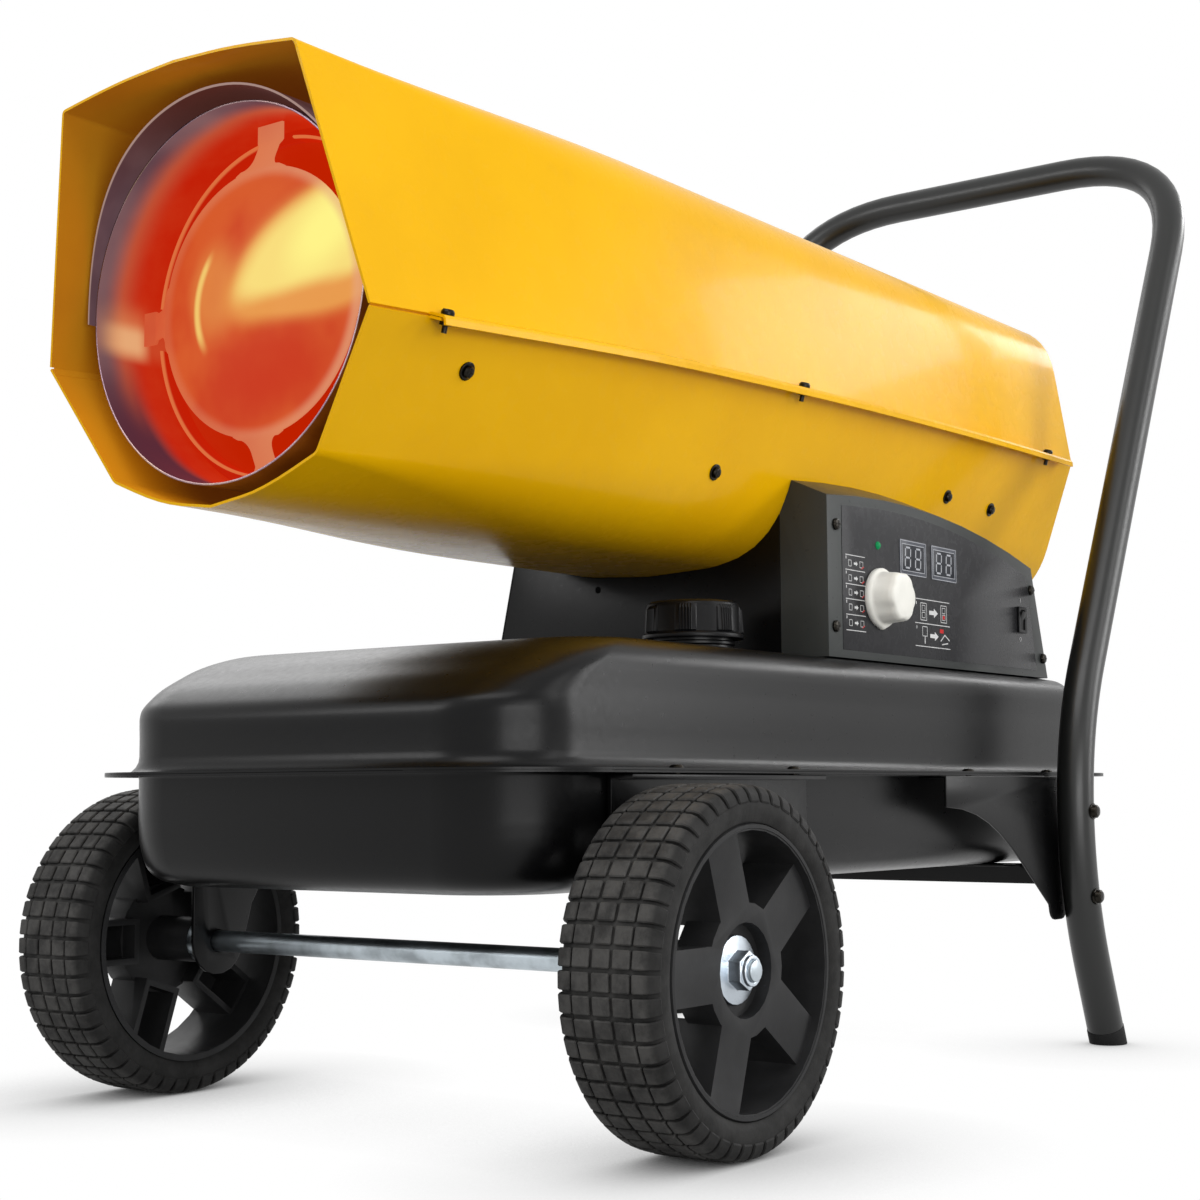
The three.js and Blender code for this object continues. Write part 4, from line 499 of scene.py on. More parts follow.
film_grey = plain("panel_film", (0.028, 0.028, 0.03), 0.22)
mark_white = plain("panel_mark_white", (0.62, 0.62, 0.62), 0.4)
mark_red = plain("panel_mark_red", (0.5, 0.02, 0.02), 0.4)
window_clear = plain("display_window", (0.085, 0.09, 0.105), 0.1)
window_dark = plain("display_dark", (0.028, 0.03, 0.036), 0.12)
segment_pale = plain("display_segment", (0.42, 0.43, 0.46), 0.3)
lamp_green = plain("green_lamp", (0.004, 0.16, 0.05), 0.1, (0.0, 0.16, 0.05))
# A near-black for a hole: painted shade where the hole is deep.
hole_painted_shade = plain("deep_hole", (0.002, 0.002, 0.002), 0.9)
print("finishes:", len(bpy.data.materials))

# %% [markdown]
# ## Helpers that make meshes
# A new piece rides on a CAD body and stands for a CAD node. `dress` says both: it puts the piece on
# the node's body and hides the node. `bake` turns an object with modifiers into a plain mesh.

# %% Mesh helpers
def link(name, data, *finishes):
    """An object in the scene, from a mesh or a lamp."""
    made = bpy.data.objects.new(name, data)
    bpy.context.scene.collection.objects.link(made)
    for finish in finishes:
        data.materials.append(finish.material)
    return made


def mesh_of(name, points, faces, edges=()):
    mesh = bpy.data.meshes.new(name)
    mesh.from_pydata([tuple(p) for p in points], list(edges), [tuple(f) for f in faces])
    return mesh


def smooth(mesh, angle=35):
    for polygon in mesh.polygons:
        polygon.use_smooth = True
    mesh.set_sharp_from_angle(angle=math.radians(angle))


def bake(made, angle=35):
    """Turns the object and its modifiers into one plain mesh, shaded smooth up to the angle."""
    bpy.context.view_layer.update()
    graph = bpy.context.evaluated_depsgraph_get()
    mesh = bpy.data.meshes.new_from_object(made.evaluated_get(graph), preserve_all_data_layers=True,
                                           depsgraph=graph)
    made.modifiers.clear()
    made.data = mesh
    smooth(mesh, angle)
    return made


def dress(made, node, *more):
    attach(made, nodes[node]["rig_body"])
    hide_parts(node, *more)
    return made


def add_to(made, node):
    """A piece that stands beside a CAD node and rides with it."""
    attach(made, nodes[node]["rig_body"])
    return made


print("dress and bake are ready")

# %% [markdown]
# Edges of pressed, moulded or machined pieces are never quite sharp. `softened` copies a CAD node,
# welds its triangles into flat faces and rounds its edges.

# %% Edge helpers
WELD = 1e-6


def outward(mesh):
    """Welds the mesh and turns its faces outwards."""
    shape = bmesh.new()
    shape.from_mesh(mesh)
    bmesh.ops.remove_doubles(shape, verts=shape.verts, dist=WELD)
    bmesh.ops.recalc_face_normals(shape, faces=shape.faces)
    shape.to_mesh(mesh)
    shape.free()
    return mesh


def faced(mesh, towards):
    """Turns the mesh's faces so that, on the whole, they look towards a direction."""
    total = sum((p.normal * p.area for p in mesh.polygons), Vector())
    if total.dot(Vector(towards)) < 0:
        mesh.flip_normals()
    return mesh


def bevelled(made, width_mm, segments=2, angle=35):
    edge = made.modifiers.new("edges", "BEVEL")
    edge.width = width_mm * MM
    edge.segments = segments
    edge.limit_method = "ANGLE"
    edge.angle_limit = math.radians(angle)
    edge.use_clamp_overlap = True
    return made


def softened(node, finish, width_mm=0.6, angle=35, segments=2):
    """A copy of a CAD node with its edges rounded."""
    mesh = nodes[node].data.copy()
    mesh.materials.clear()
    shape = bmesh.new()
    shape.from_mesh(mesh)
    bmesh.ops.remove_doubles(shape, verts=shape.verts, dist=WELD)
    bmesh.ops.dissolve_limit(shape, angle_limit=math.radians(1.5), verts=shape.verts, edges=shape.edges)
    shape.to_mesh(mesh)
    shape.free()
    made = bevelled(link(node + "_soft", mesh, finish), width_mm, segments, angle)
    return dress(bake(made, angle), node)


print("softened is ready")

# %% [markdown]
# Most shapes here are a surface through rings of points. `grid` makes its faces, `prism` gives a flat
# outline its thickness, and `lathe` turns a closed line about an axis. A line that reaches the axis
# ends at the radius MIDDLE, just off it, so that no two of its points fall together.

# %% Rings and turned pieces
def grid(rings):
    """Points and faces of rings of equal length, joined in order."""
    count = len(rings[0])
    faces = []
    for start in range(0, (len(rings) - 1) * count, count):
        for i in range(start, start + count - 1):
            faces.append((i, i + 1, i + count + 1, i + count))
    return [p for ring in rings for p in ring], faces


MIDDLE = 0.02
TURNS = {"x": lambda along, u, v: (along, u, v), "z": lambda along, u, v: (u, v, along)}


def lathe(name, profile, axis, centre, finish, steps=64):
    """A turned piece. Its profile is a closed loop of (radius, place along the axis) in millimetres."""
    loop = list(profile) + [profile[0]]
    rings = []
    for k in range(steps):
        c, s = math.cos(2 * math.pi * k / steps), math.sin(2 * math.pi * k / steps)
        turned = [TURNS[axis](along, r * c, r * s) for r, along in loop]
        rings.append([spot(*(Vector(p) + Vector(centre))) for p in turned])
    points, faces = grid(rings + [rings[0]])
    return link(name, outward(mesh_of(name, points, faces)), finish)


def prism(outline, low, high, place):
    """Points and faces between two copies of a flat outline. place(a, b, level) gives a point."""
    n = len(outline)
    points = [place(a, b, level) for level in (low, high) for a, b in outline]
    faces = [tuple(range(n)), tuple(reversed(range(n, 2 * n)))]
    return points, faces + [(i, n + i, n + (i + 1) % n, (i + 1) % n) for i in range(n)]


def box_of(a0, b0, a1, b1):
    return [(a0, b0), (a1, b0), (a1, b1), (a0, b1)]


def between(a, b, k):
    return a + (b - a) * k


print("grid, lathe and prism are ready")

# %% [markdown]
# ### Three small Geometry Nodes trees
# Whatever repeats or follows a path is made by a node tree with named inputs: a tube along a path,
# copies of a piece in a circle, and fasteners set on points, each turned to the direction stored with
# its point. Each tree ends by making its instances real, because an exported mesh can't hold them.

# %% Node tree helpers
SOCKETS = {"float": "NodeSocketFloat", "int": "NodeSocketInt", "material": "NodeSocketMaterial",
           "object": "NodeSocketObject", "vector": "NodeSocketVector"}


def new_tree(name, **inputs):
    tree = bpy.data.node_groups.new(name, "GeometryNodeTree")
    tree.interface.new_socket("Geometry", in_out="INPUT", socket_type="NodeSocketGeometry")
    for key, kind in inputs.items():
        tree.interface.new_socket(key, in_out="INPUT", socket_type=SOCKETS[kind])
    tree.interface.new_socket("Geometry", in_out="OUTPUT", socket_type="NodeSocketGeometry")
    graph = Graph(tree)
    entry = graph.add("NodeGroupInput")
    given = {socket.name: Wire(graph, socket) for socket in entry.outputs if socket.name}
    return graph, given


def close_tree(graph, geometry, material):
    real = graph.node("GeometryNodeRealizeInstances", None, {0: geometry})
    dressed = graph.node("GeometryNodeSetMaterial", None, {"Geometry": real, "Material": material})
    graph.tree.links.new(dressed.socket, graph.add("NodeGroupOutput").inputs[0])
    return graph.tree


def pattern_on(graph, given, points, turn):
    """The pattern object, copied to each point and turned there."""
    piece = graph.node("GeometryNodeObjectInfo", {"transform_space": "ORIGINAL"},
                       {"Object": given["Piece"]}, out="Geometry")
    copies = graph.node("GeometryNodeInstanceOnPoints", None,
                        {"Points": points, "Instance": piece, "Rotation": turn})
    return close_tree(graph, copies, given["Material"])


print("node sockets:", len(SOCKETS), "kinds")

# %% The three trees
def tube_tree():
    graph, given = new_tree("tube along a path", Radius="float", Sides="int", Material="material")
    path = graph.node("GeometryNodeMeshToCurve", None, {0: given["Geometry"]})
    ring = graph.node("GeometryNodeCurvePrimitiveCircle", None,
                      {"Resolution": given["Sides"], "Radius": given["Radius"]})
    tube = graph.node("GeometryNodeCurveToMesh", None,
                      {"Curve": path, "Profile Curve": ring, "Fill Caps": True})
    return close_tree(graph, tube, given["Material"])


def circle_tree():
    graph, given = new_tree("copies in a circle", Count="int", Axis="vector", Centre="vector",
                            Piece="object", Material="material")
    points = graph.node("GeometryNodePoints", None, {"Count": given["Count"], "Position": given["Centre"]})
    angle = graph.node("GeometryNodeInputIndex") * (2 * math.pi) / given["Count"]
    spin = graph.node("FunctionNodeAxisAngleToRotation", None, {"Axis": given["Axis"], "Angle": angle})
    return pattern_on(graph, given, points, spin)


def fastener_tree():
    graph, given = new_tree("fasteners on points", Piece="object", Material="material")
    points = graph.node("GeometryNodeMeshToPoints", None, {"Mesh": given["Geometry"]})
    facing = graph.add("GeometryNodeInputNamedAttribute", {"data_type": "FLOAT_VECTOR"}, {"Name": "facing"})
    facing = Wire(graph, facing.outputs["Attribute"])
    turn = graph.node("FunctionNodeAlignRotationToVector", {"axis": "Z"}, {"Vector": facing})
    return pattern_on(graph, given, points, turn)


TUBE, CIRCLE, FASTENERS = tube_tree(), circle_tree(), fastener_tree()
print("trees:", TUBE.name, "/", CIRCLE.name, "/", FASTENERS.name)

# %% [markdown]
# `grown` runs a tree on a mesh. A pattern is an object that only serves for copies, and it goes when
# they are made.

# %% Growing pieces with the trees
def grown(name, mesh, tree, finish, angle, **inputs):
    """Runs a tree on a mesh and keeps the result as a plain mesh."""
    made = link(name, mesh)
    modifier = made.modifiers.new("nodes", "NODES")
    modifier.node_group = tree
    inputs["Material"] = finish.material
    for item in tree.interface.items_tree:
        if item.in_out == "INPUT" and item.name in inputs:
            modifier[item.identifier] = inputs[item.name]
    made = bake(made, angle)
    print(name, "has", len(made.data.polygons), "faces")
    return made


def circle_of(name, pattern, count, axis, centre, finish, angle):
    made = grown(name, bpy.data.meshes.new(name), CIRCLE, finish, angle, Count=count, Axis=axis,
                 Centre=spot(*centre), Piece=pattern)
    bpy.data.objects.remove(pattern)
    return made


def tubes(name, path, radius, finish, sides=32):
    """A tube along points in metres."""
    mesh = mesh_of(name, path, [], [(i, i + 1) for i in range(len(path) - 1)])
    return grown(name, mesh, TUBE, finish, 50, Radius=radius * MM, Sides=sides)


def fasteners(name, points, pattern, node, finish=black_steel):
    """Copies of a fastener on a CAD node; each point is (place in metres, direction it faces)."""
    mesh = mesh_of(name, [p for p, _ in points], [])
    facing = mesh.attributes.new("facing", "FLOAT_VECTOR", "POINT")
    facing.data.foreach_set("vector", [v for _, d in points for v in Vector(d).normalized()])
    add_to(grown(name, mesh, FASTENERS, finish, 30, Piece=pattern), node)
    bpy.data.objects.remove(pattern)


print("tubes, circles and fasteners are ready")

# %% [markdown]
# ## Barrel
# The barrel is two folded steel shells. At the outlet its section is an eight-sided figure with sharp
# folds, and further back the folds soften into a round shape. One function gives the section at any
# place along the barrel, and the shell is the surface through such sections. Solidify gives the sheet
# its thickness, with the duller inner paint, whose darker brown is painted shade, on its inner side.

# %% The barrel's section
OUTLET_Y, BARREL_REAR, CREASE_END = -177, 700, 110
OUTLET = dict(seamX=131, shoulderX=96, shoulderZ=600, crownZ=609, heelX=83, heelZ=381, keelZ=359, corner=3)
BODY = dict(seamX=143, shoulderX=122, shoulderZ=607, crownZ=613, heelX=104, heelZ=367, keelZ=356, corner=44)
SEAM_FRONT, SEAM_REAR, TOP_FORWARD, HEEL_BACK = 454, 482, 22.4, 10
LIP_START, LIP_END, LIP_W, LIP_DROP = -131, 676, 10, 3
SHEET = 1.6


def barrel_at(y):
    k = min(max((y - OUTLET_Y) / (CREASE_END - OUTLET_Y), 0), 1)
    k = k * k * (3 - 2 * k)
    size = {key: between(OUTLET[key], BODY[key], k) for key in OUTLET}
    along = (y - OUTLET_Y) / (BARREL_REAR - OUTLET_Y)
    size["seamZ"] = between(SEAM_FRONT, SEAM_REAR, along * (2 - along))
    return size


def curve_through(a, b, c, steps):
    """A quadratic curve from a to c that bends towards b."""
    a, b, c = Vector(a), Vector(b), Vector(c)
    return [a * (1 - t) ** 2 + b * 2 * t * (1 - t) + c * t * t for t in np.linspace(0, 1, steps + 1)]


def half_section(y, side, steps=10):
    """Points (x, z) of the upper (side 1) or lower half's outline, from the +X seam to the middle."""
    s = barrel_at(y)
    half_slit = 1.0 if y < LIP_START else 0.2
    seam = Vector((s["seamX"], s["seamZ"] + side * half_slit))
    high = side > 0
    corner = Vector((s["shoulderX"], s["shoulderZ"]) if high else (s["heelX"], s["heelZ"]))
    middle = Vector((0, s["crownZ"] if high else s["keelZ"]))
    crease = Vector((corner.x * 0.5, between(corner.y, middle.y, 0.75)))
    before = corner + (seam - corner).normalized() * s["corner"]
    after = corner + (crease - corner).normalized() * s["corner"]
    flat = [seam.lerp(before, t) for t in (0, 0.35, 0.7)]
    return flat + curve_through(before, corner, after, steps) + curve_through(
        after.lerp(crease, 0.4), crease, crease.lerp(middle, 0.4), 4) + [middle]


def outlet_edge(z):
    """The outlet's edge leans: its top stands forward of the seam and its bottom lies back."""
    if z > SEAM_FRONT:
        return OUTLET_Y - TOP_FORWARD * min((z - SEAM_FRONT) / (OUTLET["shoulderZ"] - SEAM_FRONT), 1)
    return OUTLET_Y + HEEL_BACK * min((SEAM_FRONT - z) / (SEAM_FRONT - OUTLET["heelZ"]), 1)


STATIONS = [OUTLET_Y, -170, -160, -148, -135, -120, -100, -80, -60, -40, -15, 10, 35, 60, 85, 110,
            180, 250, 320, 400, 480, 560, 640, BARREL_REAR]
LEAN = (0, 0.25, 0.6)
print("section at the outlet has", 2 * len(half_section(OUTLET_Y, 1)) - 1, "points")

# %% Rings of the two shells
def whole_section(y, side):
    half = half_section(y, side)
    return half + [Vector((-p.x, p.y)) for p in reversed(half[:-1])]


def shell_rings(side):
    rings = []
    for n, y in enumerate(STATIONS):
        section = whole_section(y, side)
        if n < len(LEAN):
            place = [between(outlet_edge(p.y), STATIONS[len(LEAN)], LEAN[n]) for p in section]
        else:
            place = [y] * len(section)
        rings.append([spot(p.x, at, p.y) for p, at in zip(section, place)])
    return rings


def lip_rings(side, sign):
    """The bolted lips. The upper one's edge is turned down over the lower one."""
    outline = [(-0.6, 0), (1.2, -0.2), (LIP_W - 2, 0.4 - LIP_DROP)]
    if side > 0:
        outline += [(LIP_W - 0.9, -LIP_DROP), (LIP_W - 0.1, -1.2 - LIP_DROP), (LIP_W, -4.4 - LIP_DROP)]
    rings = []
    for y in [LIP_START, LIP_START + 4] + [s for s in STATIONS if LIP_START + 4 < s < LIP_END] + [LIP_END]:
        s = barrel_at(y)
        rings.append([spot(sign * (s["seamX"] + x), y, s["seamZ"] + side * 0.2 + z) for x, z in outline])
    return rings


print("each shell has", len(STATIONS), "sections")

# %% [markdown]
# A sheet is a surface with a wall. Pieces that are pressed or welded together become one mesh.

# %% Sheets and shells
def sheet_piece(name, parts, thick, towards, finishes, inner=0, offset=-1):
    """A sheet through rings, with Solidify for its thickness. Offset -1 lets it grow inwards."""
    points, faces = [], []
    for rings in parts:
        more, quads = grid(rings)
        faces += [tuple(i + len(points) for i in quad) for quad in quads]
        points += more
    mesh = outward(mesh_of(name, points, faces))
    made = link(name, faced(mesh, towards) if towards else mesh, *finishes)
    wall = made.modifiers.new("wall", "SOLIDIFY")
    wall.thickness = thick * MM
    wall.offset = offset
    wall.material_offset = inner
    return made


def joined(first, *others):
    """Adds the others' meshes, of the same finishes, to the first piece's mesh."""
    shape = bmesh.new()
    shape.from_mesh(first.data)
    for other in others:
        shape.from_mesh(other.data)
        bpy.data.objects.remove(other)
    shape.to_mesh(first.data)
    shape.free()
    return first


def backing_rings(sign):
    """A joggled strip of the lower shell, which closes the slit between the shells near the outlet."""
    rings = []
    for y in (OUTLET_Y + 1.5, -160, -145, LIP_START + 1):
        s = barrel_at(y)
        rings.append([spot(sign * (s["seamX"] - SHEET - 0.5 - lean * abs(z)), y, s["seamZ"] + z)
                      for z, lean in ((-4, 0.5), (0, 0), (4, 0.25))])
    return rings


def shell(name, side, node):
    paints, fold = (yellow, yellow_inside), 28
    made = bake(sheet_piece(name, [shell_rings(side)], SHEET, (0, 0, side), paints, 1), fold)
    for sign in (1, -1):
        if side < 0:
            strip = sheet_piece("seam_backing", [backing_rings(sign)], 0.5, (-sign, 0, 0), paints)
            # The strip takes the darker inner paint: painted shade in the slit between the shells.
            for polygon in strip.data.polygons:
                polygon.material_index = 1
            made = joined(made, bake(strip, fold))
        lip = sheet_piece(name + "_lip", [lip_rings(side, sign)], SHEET, (0, 0, side), (yellow,), 0, 1)
        made = joined(made, bake(lip, fold))
    smooth(made.data, fold)
    return dress(made, node)


upper_shell = shell("upper_shell_enamel", 1, "upper_shell")
lower_shell = shell("lower_shell_enamel", -1, "lower_shell")
print("shells:", len(upper_shell.data.polygons), len(lower_shell.data.polygons), "faces")

# %% [markdown]
# ## Outlet
# The combustion chamber is a steel tube whose wall glows on the inside, under a half-round heat
# shield. A narrow ring, whose lip has a notch for each arm, closes the gap behind the domed deflector
# disc. The tube is a turned line with a wall, so its outside and inside can have their own finish.

# %% Chamber, ring and shield
CHAMBER_R, CHAMBER_WALL = 111, 1.4


def revolved(profile, start, end, steps, front=None):
    """Rings of a line (radius, y) turned about the heater's axis, from start to end in degrees. The
    function front moves the line's first point along y."""
    rings = []
    for k in range(steps + 1):
        a = math.radians(between(start, end, k / steps))
        rings.append([spot(r * math.cos(a), y + (front(a) if front and n == 0 else 0),
                           CORE_Z + r * math.sin(a)) for n, (r, y) in enumerate(profile)])
    return rings


chamber_line = [(CHAMBER_R, -160)] + [(CHAMBER_R, y) for y in range(-150, 261, 41)] + [(58, 300), (36, 300)]
chamber = sheet_piece("chamber_wall", [revolved(chamber_line, 0, 360, 96)], CHAMBER_WALL, None,
                      (tempered, wall_glow_finish), 1)
dress(bake(bevelled(chamber, 0.4, 2)), "combustion_chamber")

shield_line = [(SHIELD_R, y) for y in (SHIELD_FRONT, -150, 0, 280)]
swept = revolved(shield_line, -1, 181, 64, lambda a: SHIELD_SWEEP * math.cos(a) ** 4)
dress(bake(sheet_piece("shield_sheet", [swept], 1.2, (0, 0, 1), (shield_finish,)), 40), "heat_shield")

ring_plate = [(109.2, -98), (109.2, -105.5), (108.6, -106.2), (101.6, -106.2), (101.0, -107)]
ring_lip = [(101.0, -117.2), (101.5, -118)]
ring_parts, NOTCH = [], 7.5
for middle in (0, 90, 180, 270):
    ring_parts.append(revolved(ring_plate + ring_lip, middle + NOTCH, middle + 90 - NOTCH, 28))
    ring_parts.append(revolved(ring_plate, middle - NOTCH, middle + NOTCH, 6))
ring = sheet_piece("glowing_ring", ring_parts, 1.2, None, (ring_glow_finish,))
dress(bake(ring, 40), "chamber_ring")
print("chamber, shield and ring are in place")

# %% [markdown]
# The disc is a dish: a flat rim and a dome towards the outlet. Each arm flares into the rim with a
# fillet, leans back a little and ends in a wider flat tab on the chamber's wall. A strip of cross lines,
# whose half width follows the fillets, gives that outline.

# %% Deflector disc
DISC_Y, DISC_DOME, CONE_R, CONE_SLOPE = -132, 9, 22.4, 0.125
ARM_LEAN, ARM_END, TAB_START = 8, 108.4, 98.4


def disc_y(r):
    """The disc's front face at radius r: a flat rim, a dome inside it and a low cone in the middle."""
    inner = min(r / (0.92 * DISC_R), 1)
    return DISC_Y - DISC_DOME * (1 - inner ** 2) ** 1.15 - CONE_SLOPE * max(0, CONE_R - r)


def arm_half_width(r):
    arm, tab, fillet = 8, 10.2, 8
    near = max(fillet - max(r - DISC_R, 0), 0)
    flare = fillet - math.sqrt(fillet ** 2 - near ** 2) if r >= DISC_R else fillet + 4
    k = min(max((r - TAB_START + 3) / 3, 0), 1)
    return max(arm + flare, 0) if r < TAB_START - 3 else between(arm, tab, k * k * (3 - 2 * k))


def arm_y(r):
    return DISC_Y + ARM_LEAN * min(max((r - DISC_R) / (TAB_START - DISC_R), 0), 1)


def arm_rings(quarter):
    a = math.radians(90 * quarter)
    rings = []
    for r in (75, 78, 80, 80.6, 81.5, 82.6, 84, 86, 88, 91, 94, 95.4, 96.4, 97.4, 98.4, 99, 104, ARM_END):
        w = arm_half_width(r)
        line = []
        for t in (-1, -0.6, -0.2, 0.2, 0.6, 1):
            across = w * t
            y = disc_y(math.hypot(r, across)) if math.hypot(r, across) < DISC_R else arm_y(r)
            line.append(spot(r * math.cos(a) - across * math.sin(a), y - 0.05,
                             CORE_Z + r * math.sin(a) + across * math.cos(a)))
        rings.append(line)
    return rings


disc_line = [(r, disc_y(r)) for r in np.linspace(1.0, DISC_R, 26)]
disc_parts = [revolved([(0.01, disc_y(0))] + disc_line, 0, 360, 96)] + [arm_rings(q) for q in range(4)]
disc = sheet_piece("deflector_dish", disc_parts, 1.5, (0, -1, 0), (disc_glow_finish,))
dress(bake(disc, 40), "deflector_disc")
print("deflector disc:", len(disc.data.polygons), "faces")

# %% [markdown]
# ## Burner, fan and pump
# These pieces hide in the barrel and show through the rear guard. Their CAD shapes are right, so each
# gets rounded edges and the finish of its real material.

# %% Inner pieces
INNER = {"burner_head": aluminium, "fuel_nozzle": brass, "spark_plug": white_ceramic,
         "flame_sensor": black_plastic, "fan": aluminium, "motor_shaft": zinc, "motor": satin_black,
         "motor_bracket": satin_black, "pump_body": aluminium, "pump_rotor": zinc, "pump_cover": aluminium,
         "front_chamber_bracket": tempered, "rear_chamber_bracket": tempered, "fuel_pickup": brass,
         "filler_strainer": zinc, "drain_plug": zinc, "control_board": board_green,
         "ignition_transformer": black_plastic, "cable_gland": black_plastic,
         "thermostat_body": black_plastic, "thermostat_spindle": zinc, "fuel_cap_seal": soft_rubber}
for name, finish in INNER.items():
    softened(name, finish, 0.5)
print("inner pieces:", len(INNER))

# %% [markdown]
# ## Fuel tank
# The tank is pressed from two steel halves, which meet in a flat flange all round. A press draws soft
# shapes: every edge is a generous radius. So the outline at a height is a rectangle with round corners,
# and its inset changes smoothly with the height. A smooth curve through a few given levels does that.

# %% The tank's outline and levels
TANK = dict(half=168, front=-104, rear=683, flange=211, flange_w=21, top=290.5, bottom=142, corner=60,
            nose=242, edge=24, run=104, wall=1.5)


def tank_ring(z, side, front, r, steps=12):
    """The tank's outline at height z. Its sides and front stand in by side and front, and its front
    corners have the radius r."""
    rear_r = max(TANK["corner"] - side, 20)
    half, y0, y1 = TANK["half"] - side, TANK["front"] + front, TANK["rear"] - side
    ring = []
    corners = ((1, 1, rear_r), (-1, 1, rear_r), (-1, -1, r), (1, -1, r))
    for start, (across, along, radius) in zip((0, 90, 180, 270), corners):
        x, y = across * (half - radius), (y1 if along > 0 else y0) - along * radius
        for a in np.radians(np.linspace(start, start + 90, steps + 1)):
            ring.append(spot(x + radius * math.cos(a), y + radius * math.sin(a), z))
    return ring


def smooth_levels(levels, per=4):
    """Catmull-Rom through the levels, so that the pressed shape has no kinks."""
    rows = [np.array(row, float) for row in levels]
    rows = [2 * rows[0] - rows[1], *rows, 2 * rows[-1] - rows[-2]]
    out = []
    for a, b, c, d in zip(rows, rows[1:], rows[2:], rows[3:]):
        for t in np.linspace(0, 1, per, endpoint=False):
            out.append(0.5 * (2 * b + (c - a) * t + (2 * a - 5 * b + 4 * c - d) * t ** 2
                              + (3 * b - a - 3 * c + d) * t ** 3))
    return out + [rows[-2]]


print("a level has", len(tank_ring(TANK["top"], 0, 0, TANK["corner"])), "points")

# %% [markdown]
# The upper half slopes forward in a long curve, the lower half only rounds its bottom edge. The flange
# meets each wall in a fillet, as a press leaves it.

# %% Tank halves
# Shares of the rise, of the edge's inset, of the nose's run and of the corner's radius.
SLOPE = [(0.1, 0.025, 0.01, 0.95), (0.206, 0.042, 0.041, 0.9), (0.33, 0.063, 0.113, 0.85),
         (0.474, 0.067, 0.219, 0.8), (0.619, 0.075, 0.368, 0.73), (0.763, 0.167, 0.519, 0.67),
         (0.876, 0.338, 0.673, 0.63), (0.959, 0.604, 0.827, 0.63), (1, 1, 1, 0.67)]
upper_levels = smooth_levels([(TANK["nose"] - 8, 0, 0, TANK["corner"]), (TANK["nose"], 0.3, 0, 59)] + [
    (between(TANK["nose"], TANK["top"], rise), TANK["edge"] * edge, TANK["run"] * run,
     TANK["corner"] * corner) for rise, edge, run, corner in SLOPE])
lower_levels = smooth_levels([
    (between(TANK["bottom"], TANK["flange"], rise), TANK["edge"] * edge, TANK["edge"] * edge,
     TANK["corner"] - TANK["edge"] * edge / 2)
    for rise, edge in ((0.6, 0), (0.36, 0.05), (0.16, 0.2), (0.05, 0.5), (0, 1))])


def tank_half(name, levels, side, fillet, node):
    """A half from its flange inwards. A fillet leads from the flange into the wall."""
    z, wide = TANK["flange"] + side * 0.15, TANK["flange_w"]
    corner = TANK["corner"]
    rows = [(z, -wide, -wide, corner + wide), (z, 1 - wide, 1 - wide, corner + wide - 1)]
    for a in np.radians((0, 18, 36, 54, 72, 90)):
        out = fillet * (1 - math.sin(a))
        rows.append((z + side * fillet * (1 - math.cos(a)), -out, -out, corner + out))
    rows += [tuple(row) for row in levels]
    last = rows[-1]
    rows += [(last[0] + side * 0.35, last[1] + 6, last[2] + 6, last[3]),
             (last[0] + side * 0.5, last[1] + 16, last[2] + 16, last[3])]
    rings = [tank_ring(*row) for row in rows]
    middle = sum(rings[-1], Vector()) / len(rings[-1])
    rings += [[p.lerp(middle, k) for p in rings[-1]] for k in (0.4, 0.8, 0.999)]
    rings = [ring + [ring[0]] for ring in rings]
    half = sheet_piece(name, [rings], TANK["wall"], (0, 0, side), (satin_black,))
    return dress(bake(half, 40), node)


tank_half("tank_upper_half", upper_levels, 1, 11, "tank_upper")
tank_half("tank_lower_half", lower_levels, -1, 3, "tank_lower")
print("tank halves: wall", TANK["wall"], "mm")

# %% [markdown]
# ## Filler neck and cap
# The cap is a moulded screw cap with seven grip pads round it, each with fine ribs. One pad is made,
# and the circle tree copies it.

# %% Filler
FILLER = (86, 190)
CAP_LOW, CAP_HIGH, CAP_R, CAP_PADS, CAP_TURN = 301, 326.5, 34.5, 7, -64.7
neck_line = [(24.5, 289), (34, 289), (33, 291.2), (29, 292), (27.3, 294), (27, 296), (28.6, 297),
             (28.6, 298.4), (27, 299.4), (27, 311.5), (24.5, 311.5)]
neck = lathe("filler_neck", neck_line, "z", (*FILLER, 0), satin_black)
smooth(neck.data, 40)
add_to(neck, "tank_upper")
side_line = [(0, 0), (0, 2.6), (2.2, 4)]
top_line = [(2.8, 5), (3.6, 1.8), (6, 0.4), (9, 0), (10, 1), (12, 1.2)]
cap_line = [(28.2, CAP_LOW)] + [(CAP_R - inward, CAP_LOW + rise) for inward, rise in side_line]
cap_line += [(CAP_R - inward, CAP_HIGH - drop) for inward, drop in top_line]
cap_line += [(MIDDLE, CAP_HIGH - 1.2), (MIDDLE, CAP_LOW + 15), (28.2, CAP_LOW + 15)]
cap_body = lathe("cap_body", cap_line, "z", (*FILLER, 0), black_plastic, 72)
bake(bevelled(cap_body, 0.4), 40)


